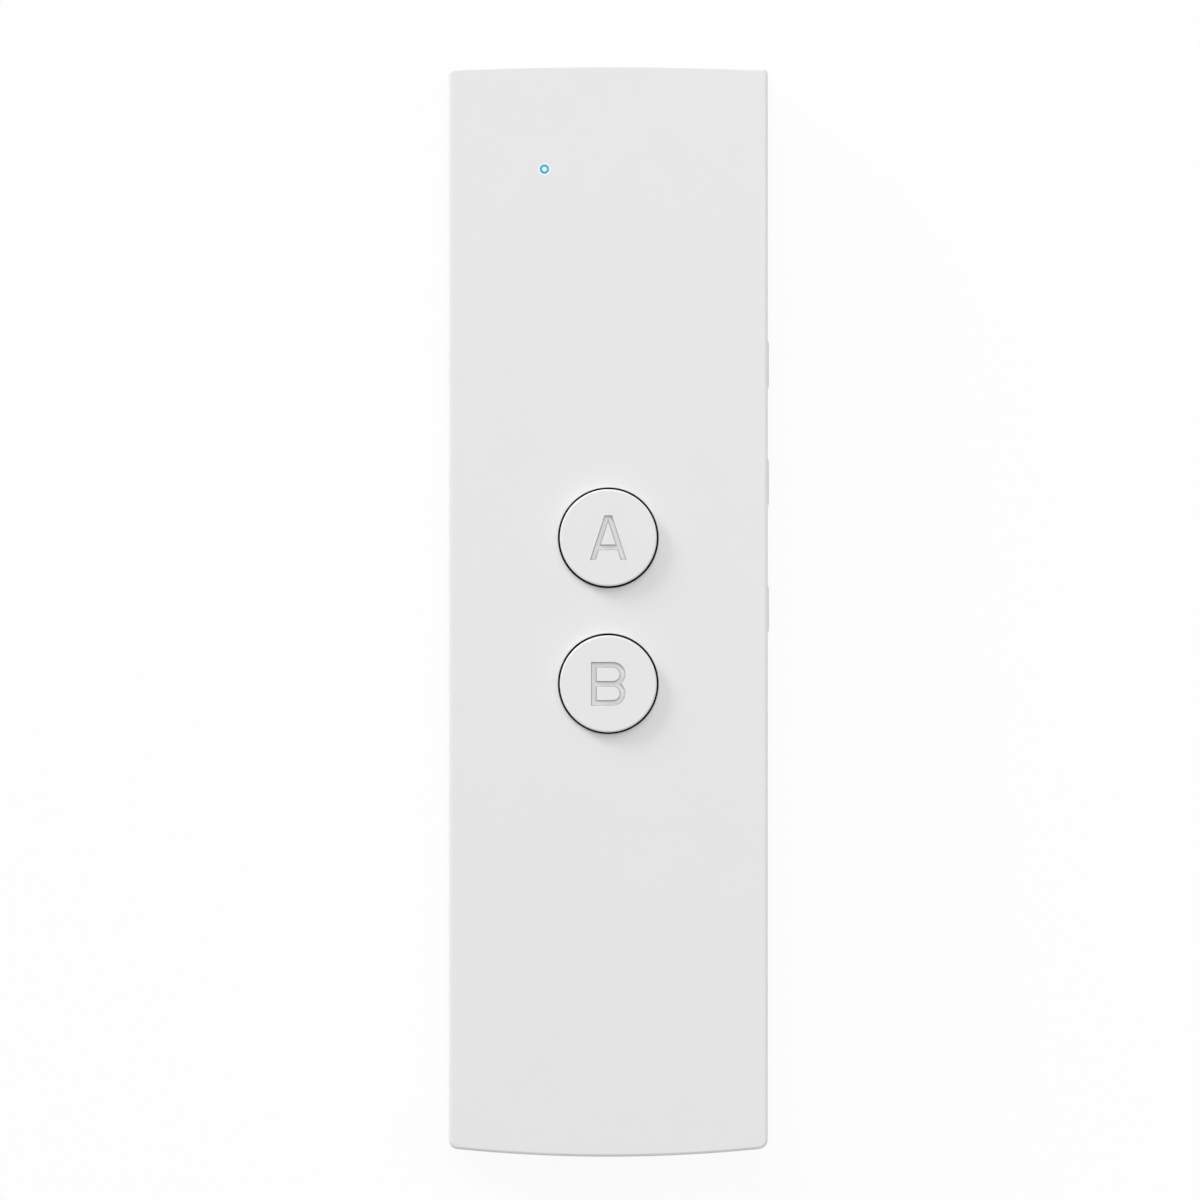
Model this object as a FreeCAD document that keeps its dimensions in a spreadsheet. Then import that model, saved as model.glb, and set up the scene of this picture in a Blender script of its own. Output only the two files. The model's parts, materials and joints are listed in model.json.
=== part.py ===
import FreeCAD, Part
import Sketcher
import math
import os
import types

# Handheld voice translator, lying on its back.
#
# Frame: +X is the side with the three keys, +Y the end with the status lamp, +Z the front face.
# The origin is the middle of the rear face. Sizes are in millimetres.

SIZES = {
    # Case outline: a slab with straight sides and two bowed ends
    "case_length": 140.0,
    "case_width": 40.9,
    "case_thickness": 11.0,
    "crown_top": 0.46,
    "crown_bottom": 1.09,
    "corner_top": 0.8,
    "corner_bottom": 1.1,
    "front_edge_round": 0.45,
    "rear_edge_round": 1.2,
    # Case walls, seam and snap fit
    "side_wall": 1.3,
    "front_wall": 1.5,
    "rear_wall": 1.3,
    "seam_height": 3.4,
    "seam_chamfer": 0.15,
    "lip_thick": 0.9,
    "lip_height": 0.9,
    "lip_play": 0.1,
    "hook_length": 6.0,
    "hook_reach": 0.35,
    "hook_thick": 0.4,
    "hook_play": 0.1,
    "hook_pitch": 42.0,
    # Main board and its screws
    "board_drop": 3.7,
    "board_thick": 1.0,
    "board_side_gap": 1.25,
    "board_end_gap": 1.2,
    "board_post_radius": 0.8,
    "board_post_pitch": 33.0,
    "board_post_room": 1.2,
    "board_post_play": 0.05,
    "boss_radius": 1.7,
    "pilot_depth": 2.6,
    "screw_radius": 0.7,
    "screw_play": 0.05,
    "screw_hole_play": 0.15,
    "screw_length": 3.2,
    "screw_head_radius": 1.25,
    "screw_head_thick": 0.6,
    "screw_side_room": 5.65,
    "screw_end_room": 9.0,
    "screw_middle_place": 24.0,
    "recess_span": 1.5,
    "recess_width": 0.36,
    "recess_depth": 0.3,
    # Round buttons
    "button_pitch": 18.71,
    "button_radius": 6.2,
    "button_gap": 0.25,
    "button_raise": 1.2,
    "button_edge_round": 0.24,
    "hole_edge_round": 0.12,
    "button_travel": 0.35,
    "flange_reach": 0.55,
    "flange_thick": 0.6,
    "flange_play": 0.05,
    "cap_skin": 1.4,
    "cap_rim": 1.2,
    "post_radius": 1.6,
    "collar_gap": 0.3,
    "collar_thick": 0.8,
    "collar_height": 1.3,
    "tab_width": 1.6,
    "tab_reach": 0.7,
    "tab_play": 0.15,
    # Key marks sunk into the round buttons
    "mark_depth": 0.4,
    "mark_stroke": 0.73,
    "mark_a_tall": 5.7,
    "mark_a_wide": 4.7,
    "mark_a_tip": 0.97,
    "mark_a_bar_drop": 0.88,
    "mark_b_tall": 5.6,
    "mark_b_wide": 4.4,
    # Click switches under the round buttons
    "switch_width": 5.2,
    "switch_base_tall": 1.3,
    "switch_floor": 0.4,
    "switch_well_play": 0.2,
    "switch_cover_thick": 0.2,
    "switch_leg_width": 1.0,
    "plunger_radius": 1.15,
    "plunger_play": 0.15,
    "plunger_stand": 0.7,
    "plunger_foot_radius": 1.6,
    "plunger_foot_thick": 0.25,
    "plunger_foot_play": 0.05,
    # Side keys
    "key_length": 6.7,
    "key_tall": 2.4,
    "key_corner": 0.9,
    "key_proud": 0.265,
    "key_slope_rise": 0.24,
    "key_slope_run": 0.6,
    "key_slot_play": 0.1,
    "key_height": 6.2,
    "key_travel": 0.2,
    "power_key_place": 31.7,
    "volume_up_place": 16.5,
    "volume_down_place": 0.2,
    "key_flange_reach": 0.35,
    "key_flange_thick": 0.6,
    "key_flange_play": 0.05,
    "key_nub_wide": 2.2,
    "key_nub_tall": 0.9,
    "key_nub_length": 0.7,
    # Click switches behind the side keys
    "side_switch_long": 4.7,
    "side_switch_deep": 2.0,
    "side_switch_tall": 1.4,
    "side_well_deep": 1.3,
    "side_cover_thick": 0.15,
    "side_plunger_wide": 2.6,
    "side_plunger_tall": 0.8,
    "side_plunger_stand": 0.5,
    "side_plunger_play": 0.1,
    "side_plunger_rest": 0.15,
    # Status lamp
    "lamp_side_place": 8.18,
    "lamp_end_room": 13.4,
    "lamp_radius": 0.57,
    "lamp_gap": 0.05,
    "lamp_flange_radius": 1.0,
    "lamp_flange_thick": 0.6,
    "lamp_stem_radius": 0.8,
    "lamp_air": 0.1,
    "lamp_collar_play": 0.15,
    "lamp_collar_thick": 0.7,
    "lamp_collar_height": 1.3,
    "lamp_source_long": 1.6,
    "lamp_source_wide": 0.8,
    "lamp_source_tall": 0.6,
    # Charging socket
    "port_width": 7.5,
    "port_tall": 2.5,
    "port_skin": 0.3,
    "port_deep": 5.5,
    "port_recess": 0.5,
    "port_corner": 0.6,
    "port_opening_play": 0.3,
    "port_board_play": 0.15,
    "port_wing": 1.2,
    "port_block_deep": 1.2,
    "port_block_play": 0.05,
    "tongue_wide": 3.7,
    "tongue_thick": 0.6,
    "tongue_long": 3.6,
    "contact_wide": 0.35,
    "contact_thick": 0.12,
    "contact_long": 3.2,
    "contact_pitch": 0.65,
    # Microphone
    "mic_side_place": 8.0,
    "mic_height": 7.1,
    "mic_radius": 1.5,
    "mic_deep": 1.2,
    "mic_pin_radius": 0.2,
    "mic_pin_long": 1.3,
    "mic_pin_spread": 0.6,
    "mic_hole_radius": 0.45,
    "boot_wall": 0.5,
    "boot_front": 0.3,
    "boot_gap": 0.1,
    "boot_play": 0.05,
    # Speaker and grille
    "speaker_end_room": 28.0,
    "speaker_radius": 10.0,
    "speaker_tall": 3.2,
    "speaker_wall": 0.8,
    "speaker_plate": 0.6,
    "speaker_vent_radius": 4.2,
    "speaker_board_gap": 0.75,
    "speaker_rib_play": 0.15,
    "speaker_rib_thick": 0.9,
    "speaker_rib_height": 2.0,
    "gasket_thick": 0.5,
    "gasket_wide": 1.4,
    "speaker_rim_inset": 0.2,
    "cone_thick": 0.2,
    "cone_roll_height": 0.35,
    "cone_flare_height": 0.6,
    "cone_dome_height": 0.9,
    "coil_radius": 3.3,
    "coil_thick": 0.3,
    "coil_tall": 1.3,
    "magnet_radius": 6.0,
    "magnet_tall": 1.4,
    "mesh_play": 0.2,
    "mesh_thick": 0.1,
    "grille_pitch": 1.9,
    "grille_hole_radius": 0.55,
    "terminal_block_wide": 7.2,
    "terminal_block_reach": 0.6,
    "terminal_block_tall": 1.0,
    "terminal_spread": 2.2,
    "terminal_wide": 1.4,
    "terminal_thick": 0.3,
    "terminal_tall": 0.8,
    # Battery
    "battery_side_room": 3.15,
    "battery_end_room": 16.5,
    "battery_board_gap": 0.3,
    "battery_edge_round": 0.9,
    "foam_thick": 0.3,
    "foam_margin": 3.0,
    "battery_rib_gap": 0.2,
    "battery_rib_thick": 0.8,
    "battery_rib_height": 1.4,
    "guard_board_gap": 0.3,
    "guard_board_length": 26.0,
    "guard_board_wide": 2.4,
    "guard_board_thick": 0.8,
    "battery_tab_wide": 3.0,
    "battery_tab_thick": 0.15,
    "battery_tab_spread": 8.0,
    # Battery connector
    "connector_side_place": 7.0,
    "connector_room": 2.7,
    "connector_wide": 6.4,
    "connector_deep": 4.2,
    "connector_tall": 1.5,
    "connector_wall": 0.4,
    "plug_play": 0.05,
    "plug_seat": 3.0,
    "plug_stand": 0.6,
    "battery_wire_radius": 0.4,
    "battery_wire_spread": 1.0,
    "battery_wire_room": 12.2,
    "battery_wire_drift": 3.4,
    # Speaker wires
    "speaker_wire_radius": 0.35,
    "speaker_wire_run": 3.0,
    "speaker_wire_bend": 3.2,
    "speaker_wire_drift": 2.4,
    "joint_wide": 1.2,
    "joint_deep": 1.0,
    "joint_tall": 1.1,
    # Chips on the board
    "processor_width": 8.0,
    "processor_tall": 0.9,
    "chip_dot_radius": 0.35,
    "chip_dot_depth": 0.08,
    "memory_wide": 6.0,
    "memory_deep": 5.0,
    "memory_tall": 0.8,
    "charging_chip_width": 4.0,
    "charging_chip_tall": 0.8,
    "amplifier_width": 3.0,
    "amplifier_tall": 0.75,
    "crystal_wide": 3.2,
    "crystal_deep": 2.5,
    "crystal_tall": 0.7,
    "power_coil_width": 4.0,
    "power_coil_tall": 1.6,
    "power_coil_round": 0.8,
    "passive_long": 1.0,
    "passive_wide": 0.5,
    "passive_tall": 0.5,
    "passive_pitch": 1.5,
    "chip_side_place": 7.0,
    "chip_spacing": 1.6,
    # Wireless module
    "module_side_place": 5.5,
    "module_end_room": 11.5,
    "module_wide": 10.0,
    "module_deep": 8.0,
    "module_thick": 0.6,
    "shield_margin": 0.7,
    "shield_tall": 1.1,
    "shield_skin": 0.15,
    "antenna_long": 6.0,
    "antenna_wide": 1.6,
    "antenna_tall": 1.0,
    "antenna_room": 1.5,
    # How far a cut runs past the wall that it goes through
    "cut_margin": 0.5,
}

KEYS = {
    "power_key": "power_key_place",
    "volume_up_key": "volume_up_place",
    "volume_down_key": "volume_down_place",
}
BUTTONS = {"button_a": 1, "button_b": -1}
GRILLE_RINGS = 3
HOOKS_PER_SIDE = 3
POSTS_PER_SIDE = 4
PORT_CONTACTS = 5
PASSIVE_ROWS = 2
PASSIVE_COLUMNS = 4

doc = FreeCAD.newDocument("voice_translator")
sheet = doc.addObject("Spreadsheet::Sheet", "sizes")
for row, (alias, amount) in enumerate(SIZES.items(), 1):
    sheet.set(f"A{row}", alias)
    sheet.set(f"B{row}", str(amount))
    sheet.setAlias(f"B{row}", alias)
doc.recompute()

subparts = []


class Size:
    """A length that is known as a number and as an expression on the sheet."""

    def __init__(self, number, text):
        self.number = number
        self.text = text

    def __add__(self, other):
        other = as_size(other)
        return Size(self.number + other.number, f"({self.text} + {other.text})")

    def __sub__(self, other):
        other = as_size(other)
        return Size(self.number - other.number, f"({self.text} - {other.text})")

    def __mul__(self, other):
        other = as_size(other)
        return Size(self.number * other.number, f"({self.text} * {other.text})")

    def __truediv__(self, other):
        other = as_size(other)
        return Size(self.number / other.number, f"({self.text} / {other.text})")

    def __neg__(self):
        return self * -1

    __radd__ = __add__
    __rmul__ = __mul__

    def __rsub__(self, other):
        return as_size(other) - self


def as_size(amount):
    """Take a plain number or a size, and give a size."""
    return amount if isinstance(amount, Size) else Size(float(amount), f"({amount})")


def root(size):
    """Give the square root of a size."""
    return Size(math.sqrt(size.number), f"sqrt({size.text})")


def smaller(size, limit):
    """Give the smaller of two sizes."""
    size = as_size(size)
    limit = as_size(limit)
    return Size(min(size.number, limit.number), f"min({size.text}; {limit.text})")


dim = types.SimpleNamespace(
    **{alias: Size(sheet.get(alias), f"sizes.{alias}") for alias in SIZES}
)

# Levels and places that several pieces share
half_length = dim.case_length / 2
half_width = dim.case_width / 2
inner_side = half_width - dim.side_wall
lip_outer_inset = dim.side_wall + dim.lip_play
lip_inner_inset = lip_outer_inset + dim.lip_thick
tray_side = half_width - lip_inner_inset
front_inside = dim.case_thickness - dim.front_wall
board_top = front_inside - dim.board_drop
board_bottom = board_top - dim.board_thick
board_side = inner_side - dim.board_side_gap
board_top_end = half_length - dim.side_wall - dim.crown_top - dim.board_end_gap
board_bottom_end = -(half_length - dim.side_wall - dim.crown_bottom - dim.board_end_gap)

hole_radius = dim.button_radius + dim.button_gap
flange_radius = hole_radius + dim.flange_reach
collar_radius = flange_radius + dim.collar_gap
flange_top = front_inside - dim.flange_play
flange_bottom = flange_top - dim.flange_thick
switch_cover_top = board_top + dim.switch_base_tall + dim.switch_cover_thick
plunger_top = switch_cover_top + dim.plunger_stand

key_flange_outer = dim.side_wall + dim.key_flange_play
key_flange_inner = key_flange_outer + dim.key_flange_thick
key_nub_tip = key_flange_inner + dim.key_nub_length
side_switch_face = key_nub_tip + dim.side_plunger_stand
side_switch_middle = board_top + dim.side_switch_tall / 2

lamp_y = half_length - dim.lamp_end_room
lamp_source_top = board_top + dim.lamp_source_tall
speaker_y = half_length - dim.speaker_end_room
cone_rim_level = dim.rear_wall + dim.gasket_thick
speaker_level = cone_rim_level + dim.cone_thick
speaker_top = speaker_level + dim.speaker_tall
speaker_inner = dim.speaker_radius - dim.speaker_wall
terminal_face = speaker_y - dim.speaker_radius - dim.terminal_block_reach
terminal_level = speaker_top - dim.terminal_block_tall / 2 - dim.speaker_plate

speaker_wire_start = terminal_face - dim.terminal_thick
speaker_wire_end = speaker_wire_start - dim.speaker_wire_run * 2 - dim.speaker_wire_bend

connector_level = board_bottom - dim.connector_tall / 2
connector_top_end = speaker_wire_end - dim.joint_deep - dim.connector_room
connector_front = connector_top_end - dim.connector_deep
plug_back = connector_front - dim.plug_stand
guard_board_end = plug_back - dim.battery_wire_room
battery_top_end = guard_board_end - dim.guard_board_wide - dim.guard_board_gap
battery_bottom_end = -(half_length - dim.battery_end_room)
battery_length = battery_top_end - battery_bottom_end
battery_side = tray_side - dim.battery_side_room
battery_level = dim.rear_wall + dim.foam_thick
battery_top = board_bottom - dim.battery_board_gap

port_level = dim.case_thickness / 2
port_front = -(half_length - dim.port_recess)
port_back = port_front + dim.port_deep
screw_x = inner_side - dim.screw_side_room
screw_rows = (half_length - dim.screw_end_room, dim.screw_middle_place, dim.screw_end_room - half_length)
screw_places = [(screw_x * side, row) for row in screw_rows for side in (-1, 1)]


def bind(owner, name, size):
    """Tie a property of an object to an expression on the sheet."""
    owner.setExpression(name, as_size(size).text)


def keep(piece, label):
    """Name a finished piece, so that it is written out under that name."""
    piece.Label = label
    subparts.append(piece)
    return piece


def move(piece, x=0, y=0, z=0):
    """Tie an object's place to the sheet."""
    for axis, distance in (("x", x), ("y", y), ("z", z)):
        bind(piece, f".Placement.Base.{axis}", distance)
    return piece


def new_body(label):
    """Start a body that is built from sketches and features."""
    return keep(doc.addObject("PartDesign::Body", label), label)


def sketch_on(body, role, level):
    """Attach a new sketch to one of the body's own planes, at a level along its normal."""
    sketch = body.newObject("Sketcher::SketchObject", f"{body.Name}_sketch")
    plane = next(item for item in body.Origin.OriginFeatures if item.Role == role)
    sketch.AttachmentSupport = (plane, [""])
    sketch.MapMode = "FlatFace"
    bind(sketch, ".AttachmentOffset.Base.z", level)
    return sketch


def flat_sketch(body, level):
    """Start a sketch that lies level, seen from the front face."""
    return sketch_on(body, "XY_Plane", level)


def dimension(sketch, kind, *places, size):
    """Add a dimension to a sketch and tie it to the sheet."""
    size = as_size(size)
    index = sketch.addConstraint(Sketcher.Constraint(kind, *places, size.number))
    sketch.setExpression(f"Constraints[{index}]", size.text)


def outline(sketch, steps):
    """Draw one closed loop. A step is an end point, and the centre of its arc if it turns left."""
    points = [tuple(as_size(part) for part in step[0]) for step in steps]
    shapes = []
    for index, step in enumerate(steps):
        begin = FreeCAD.Vector(points[index - 1][0].number, points[index - 1][1].number, 0)
        end = FreeCAD.Vector(points[index][0].number, points[index][1].number, 0)
        if len(step) == 1:
            shapes.append(Part.LineSegment(begin, end))
            continue
        middle = FreeCAD.Vector(as_size(step[1][0]).number, as_size(step[1][1]).number, 0)
        first_angle = math.atan2(begin.y - middle.y, begin.x - middle.x)
        last_angle = math.atan2(end.y - middle.y, end.x - middle.x)
        if last_angle < first_angle:
            last_angle += 2 * math.pi
        circle_shape = Part.Circle(middle, FreeCAD.Vector(0, 0, 1), (begin - middle).Length)
        shapes.append(Part.ArcOfCircle(circle_shape, first_angle, last_angle))
    base = sketch.GeometryCount
    sketch.addGeometry(shapes, False)
    for index, step in enumerate(steps):
        here = base + index
        after = base + (index + 1) % len(steps)
        sketch.addConstraint(Sketcher.Constraint("Coincident", here, 2, after, 1))
        x, y = points[index]
        if len(step) == 1:
            dimension(sketch, "DistanceX", -1, 1, here, 2, size=x)
            dimension(sketch, "DistanceY", -1, 1, here, 2, size=y)
            continue
        middle_x, middle_y = (as_size(part) for part in step[1])
        dimension(sketch, "DistanceX", -1, 1, here, 3, size=middle_x)
        dimension(sketch, "DistanceY", -1, 1, here, 3, size=middle_y)
        if abs(x.number - middle_x.number) < abs(y.number - middle_y.number):
            dimension(sketch, "DistanceX", -1, 1, here, 2, size=x)
        else:
            dimension(sketch, "DistanceY", -1, 1, here, 2, size=y)


def rectangle(sketch, x, y, wide, tall):
    """Draw a rectangle about its middle."""
    left, right = x - wide / 2, x + wide / 2
    low, high = y - tall / 2, y + tall / 2
    outline(sketch, [((right, low),), ((right, high),), ((left, high),), ((left, low),)])


def round_rectangle(sketch, x, y, wide, tall, corner):
    """Draw a rectangle with round corners about its middle."""
    left, right = x - wide / 2, x + wide / 2
    low, high = y - tall / 2, y + tall / 2
    outline(sketch, [
        ((right - corner, low),),
        ((right, low + corner), (right - corner, low + corner)),
        ((right, high - corner),),
        ((right - corner, high), (right - corner, high - corner)),
        ((left + corner, high),),
        ((left, high - corner), (left + corner, high - corner)),
        ((left, low + corner),),
        ((left + corner, low), (left + corner, low + corner)),
    ])


def circle(sketch, x, y, radius):
    """Draw a circle about its middle."""
    x, y, radius = as_size(x), as_size(y), as_size(radius)
    middle = FreeCAD.Vector(x.number, y.number, 0)
    here = sketch.addGeometry(Part.Circle(middle, FreeCAD.Vector(0, 0, 1), radius.number), False)
    dimension(sketch, "DistanceX", -1, 1, here, 3, size=x)
    dimension(sketch, "DistanceY", -1, 1, here, 3, size=y)
    dimension(sketch, "Radius", here, size=radius)


def case_plan(sketch, inset):
    """Draw the plan of the case, set in from its outer face by an even distance."""
    side = half_width - inset
    ends = []
    for crown, way in ((dim.crown_top, 1), (dim.crown_bottom, -1)):
        bow = half_width * half_width / (2 * crown) + crown / 2
        middle = (half_length - bow) * way
        corner = middle + root((bow - inset) * (bow - inset) - side * side) * way
        ends.append((middle, corner))
    (top_middle, top_corner), (bottom_middle, bottom_corner) = ends
    outline(sketch, [
        ((side, top_corner),),
        ((-side, top_corner), (0, top_middle)),
        ((-side, bottom_corner),),
        ((side, bottom_corner), (0, bottom_middle)),
    ])


def bottom_wall_inside(x):
    """Give how far down the inside of the bottom wall lies at a distance from the middle line."""
    bow = half_width * half_width / (2 * dim.crown_bottom) + dim.crown_bottom / 2
    inner_bow = bow - dim.side_wall
    return -(half_length - bow + root(inner_bow * inner_bow - x * x))


def extrude(body, kind, sketch, length, against):
    """Run a sketch along its normal, or against it, as added or as taken-away material."""
    feature = body.newObject(kind, f"{body.Name}_{kind.split('::')[1].lower()}")
    feature.Profile = sketch
    bind(feature, "Length", length)
    feature.Reversed = against
    sketch.Visibility = False
    return feature


def pad_up(body, sketch, length):
    """Add material along the sketch's normal."""
    return extrude(body, "PartDesign::Pad", sketch, length, False)


def pad_down(body, sketch, length):
    """Add material against the sketch's normal."""
    return extrude(body, "PartDesign::Pad", sketch, length, True)


def cut_down(body, sketch, length):
    """Take material away against the sketch's normal."""
    return extrude(body, "PartDesign::Pocket", sketch, length, False)


def cut_up(body, sketch, length):
    """Take material away along the sketch's normal."""
    return extrude(body, "PartDesign::Pocket", sketch, length, True)


def pick_edges(body, chosen):
    """Name the edges of the body's last feature that a test picks out."""
    doc.recompute()
    edges = body.Tip.Shape.Edges
    names = [f"Edge{number}" for number, edge in enumerate(edges, 1) if chosen(edge)]
    if not names:
        raise ValueError(f"{body.Label} has no such edge")
    return (body.Tip, names)


def round_edges(body, radius, chosen):
    """Round the edges that a test picks out."""
    base = pick_edges(body, chosen)
    feature = body.newObject("PartDesign::Fillet", f"{body.Name}_fillet")
    feature.Base = base
    bind(feature, "Radius", radius)


def bevel_edges(body, rise, run, chosen):
    """Bevel the edges that a test picks out, by a rise and a run."""
    base = pick_edges(body, chosen)
    feature = body.newObject("PartDesign::Chamfer", f"{body.Name}_chamfer")
    feature.Base = base
    feature.ChamferType = "Two distances"
    bind(feature, "Size", rise)
    bind(feature, "Size2", run)


def near(first, second):
    """Tell whether two numbers are the same size."""
    return abs(first - as_size(second).number) < 1e-5


def level_edge(edge, level):
    """Tell whether an edge lies flat at a level."""
    return near(edge.BoundBox.ZMin, level) and near(edge.BoundBox.ZMax, level)


def upright_edge(edge):
    """Tell whether an edge stands straight up."""
    box = edge.BoundBox
    return box.ZLength > 1e-3 and box.XLength < 1e-5 and box.YLength < 1e-5


def round_of(edge, radius):
    """Tell whether an edge is a circle of a radius."""
    return edge.Curve.TypeId == "Part::GeomCircle" and near(edge.Curve.Radius, radius)


def round_case_corners(body):
    """Round the four upright corners of a case half."""
    for corner, way in ((dim.corner_top, 1), (dim.corner_bottom, -1)):
        round_edges(body, corner, lambda edge: upright_edge(edge) and edge.CenterOfMass.y * way > 0)


def solid_box(name, x, y, z, wide, deep, tall):
    """Make a plain block about its middle in plan, standing on a level."""
    block = doc.addObject("Part::Box", name)
    bind(block, "Length", wide)
    bind(block, "Width", deep)
    bind(block, "Height", tall)
    return move(block, as_size(x) - as_size(wide) / 2, as_size(y) - as_size(deep) / 2, z)


def solid_cylinder(name, x, y, z, radius, tall):
    """Make an upright cylinder that stands on a level."""
    cylinder = doc.addObject("Part::Cylinder", name)
    bind(cylinder, "Radius", radius)
    bind(cylinder, "Height", tall)
    return move(cylinder, x, y, z)


def subtract(name, base, tool):
    """Take one solid away from another."""
    cut = doc.addObject("Part::Cut", name)
    cut.Base = base
    cut.Tool = tool
    return cut


def group(label, members):
    """Keep several like solids under one name."""
    compound = doc.addObject("Part::Compound", label)
    compound.Links = members
    return keep(compound, label)


def make_front_housing():
    """Front shell: face, side walls, screw bosses, guide collars, and every opening."""
    body = new_body("front_housing")
    plan = flat_sketch(body, dim.seam_height)
    case_plan(plan, as_size(0))
    pad_up(body, plan, dim.case_thickness - dim.seam_height)
    round_case_corners(body)
    edge_round = smaller(dim.front_edge_round, dim.corner_top)
    round_edges(body, edge_round, lambda edge: level_edge(edge, dim.case_thickness))

    cavity = flat_sketch(body, dim.seam_height)
    case_plan(cavity, dim.side_wall)
    cut_up(body, cavity, front_inside - dim.seam_height)

    bosses = flat_sketch(body, front_inside)
    for x, y in screw_places:
        circle(bosses, x, y, dim.boss_radius)
    pad_down(body, bosses, dim.board_drop)

    for side in BUTTONS.values():
        middle = dim.button_pitch / 2 * side
        collar = flat_sketch(body, front_inside)
        circle(collar, 0, middle, collar_radius + dim.collar_thick)
        circle(collar, 0, middle, collar_radius)
        pad_down(body, collar, dim.collar_height)
        notch = flat_sketch(body, front_inside)
        tab_middle = middle + (collar_radius + dim.collar_thick / 2) * side
        notch_deep = dim.collar_thick + dim.tab_reach
        rectangle(notch, as_size(0), tab_middle, dim.tab_width + dim.tab_play * 2, notch_deep)
        cut_down(body, notch, dim.collar_height)

    lamp_collar = flat_sketch(body, front_inside)
    lamp_collar_radius = dim.lamp_flange_radius + dim.lamp_collar_play
    circle(lamp_collar, -dim.lamp_side_place, lamp_y, lamp_collar_radius + dim.lamp_collar_thick)
    circle(lamp_collar, -dim.lamp_side_place, lamp_y, lamp_collar_radius)
    pad_down(body, lamp_collar, dim.lamp_collar_height)

    face_holes = flat_sketch(body, dim.case_thickness)
    for side in BUTTONS.values():
        circle(face_holes, 0, dim.button_pitch / 2 * side, hole_radius)
    circle(face_holes, -dim.lamp_side_place, lamp_y, dim.lamp_radius + dim.lamp_gap)
    cut_down(body, face_holes, dim.front_wall)

    pilots = flat_sketch(body, board_top)
    for x, y in screw_places:
        circle(pilots, x, y, dim.screw_radius + dim.screw_play)
    cut_up(body, pilots, dim.pilot_depth)

    slots = sketch_on(body, "YZ_Plane", half_width + dim.cut_margin)
    play = dim.key_slot_play
    for place in KEYS.values():
        middle = getattr(dim, place)
        long, tall = dim.key_length + play * 2, dim.key_tall + play * 2
        round_rectangle(slots, middle, dim.key_height, long, tall, dim.key_corner + play)
    cut_down(body, slots, dim.side_wall + dim.cut_margin * 2)

    port = sketch_on(body, "XZ_Plane", half_length + dim.cut_margin)
    port_play = dim.port_opening_play
    port_shape(port, -port_play)
    circle(port, dim.mic_side_place, dim.mic_height, dim.mic_hole_radius)
    cut_down(body, port, dim.side_wall + dim.cut_margin * 2)

    catches = flat_sketch(body, dim.seam_height + dim.lip_height - dim.hook_thick - dim.hook_play)
    draw_hooks(catches, dim.hook_play)
    cut_up(body, catches, dim.hook_thick + dim.hook_play * 2)

    rim = lambda edge: level_edge(edge, dim.case_thickness) and round_of(edge, hole_radius)
    round_edges(body, dim.hole_edge_round, rim)


def draw_hooks(sketch, play):
    """Draw the snap hooks along both sides, or with play the catches that take them."""
    base = inner_side - dim.lip_play - dim.lip_thick / 2
    tip = inner_side - dim.lip_play + dim.hook_reach + play
    for side in (-1, 1):
        for number in range(HOOKS_PER_SIDE):
            y = dim.hook_pitch * (number - (HOOKS_PER_SIDE - 1) / 2)
            x = (base + tip) / 2 * side
            rectangle(sketch, x, y, tip - base, dim.hook_length + play * 2)


def port_shape(sketch, inset):
    """Draw the charging socket's outline: a block with its two lower corners cut off."""
    side = dim.port_width / 2 - inset
    low = port_level - dim.port_tall / 2 + inset
    high = port_level + dim.port_tall / 2 - inset
    corner = dim.port_corner
    outline(sketch, [
        ((side - corner, low),),
        ((side, low + corner),),
        ((side, high),),
        ((-side, high),),
        ((-side, low + corner),),
        ((corner - side, low),),
    ])


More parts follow.
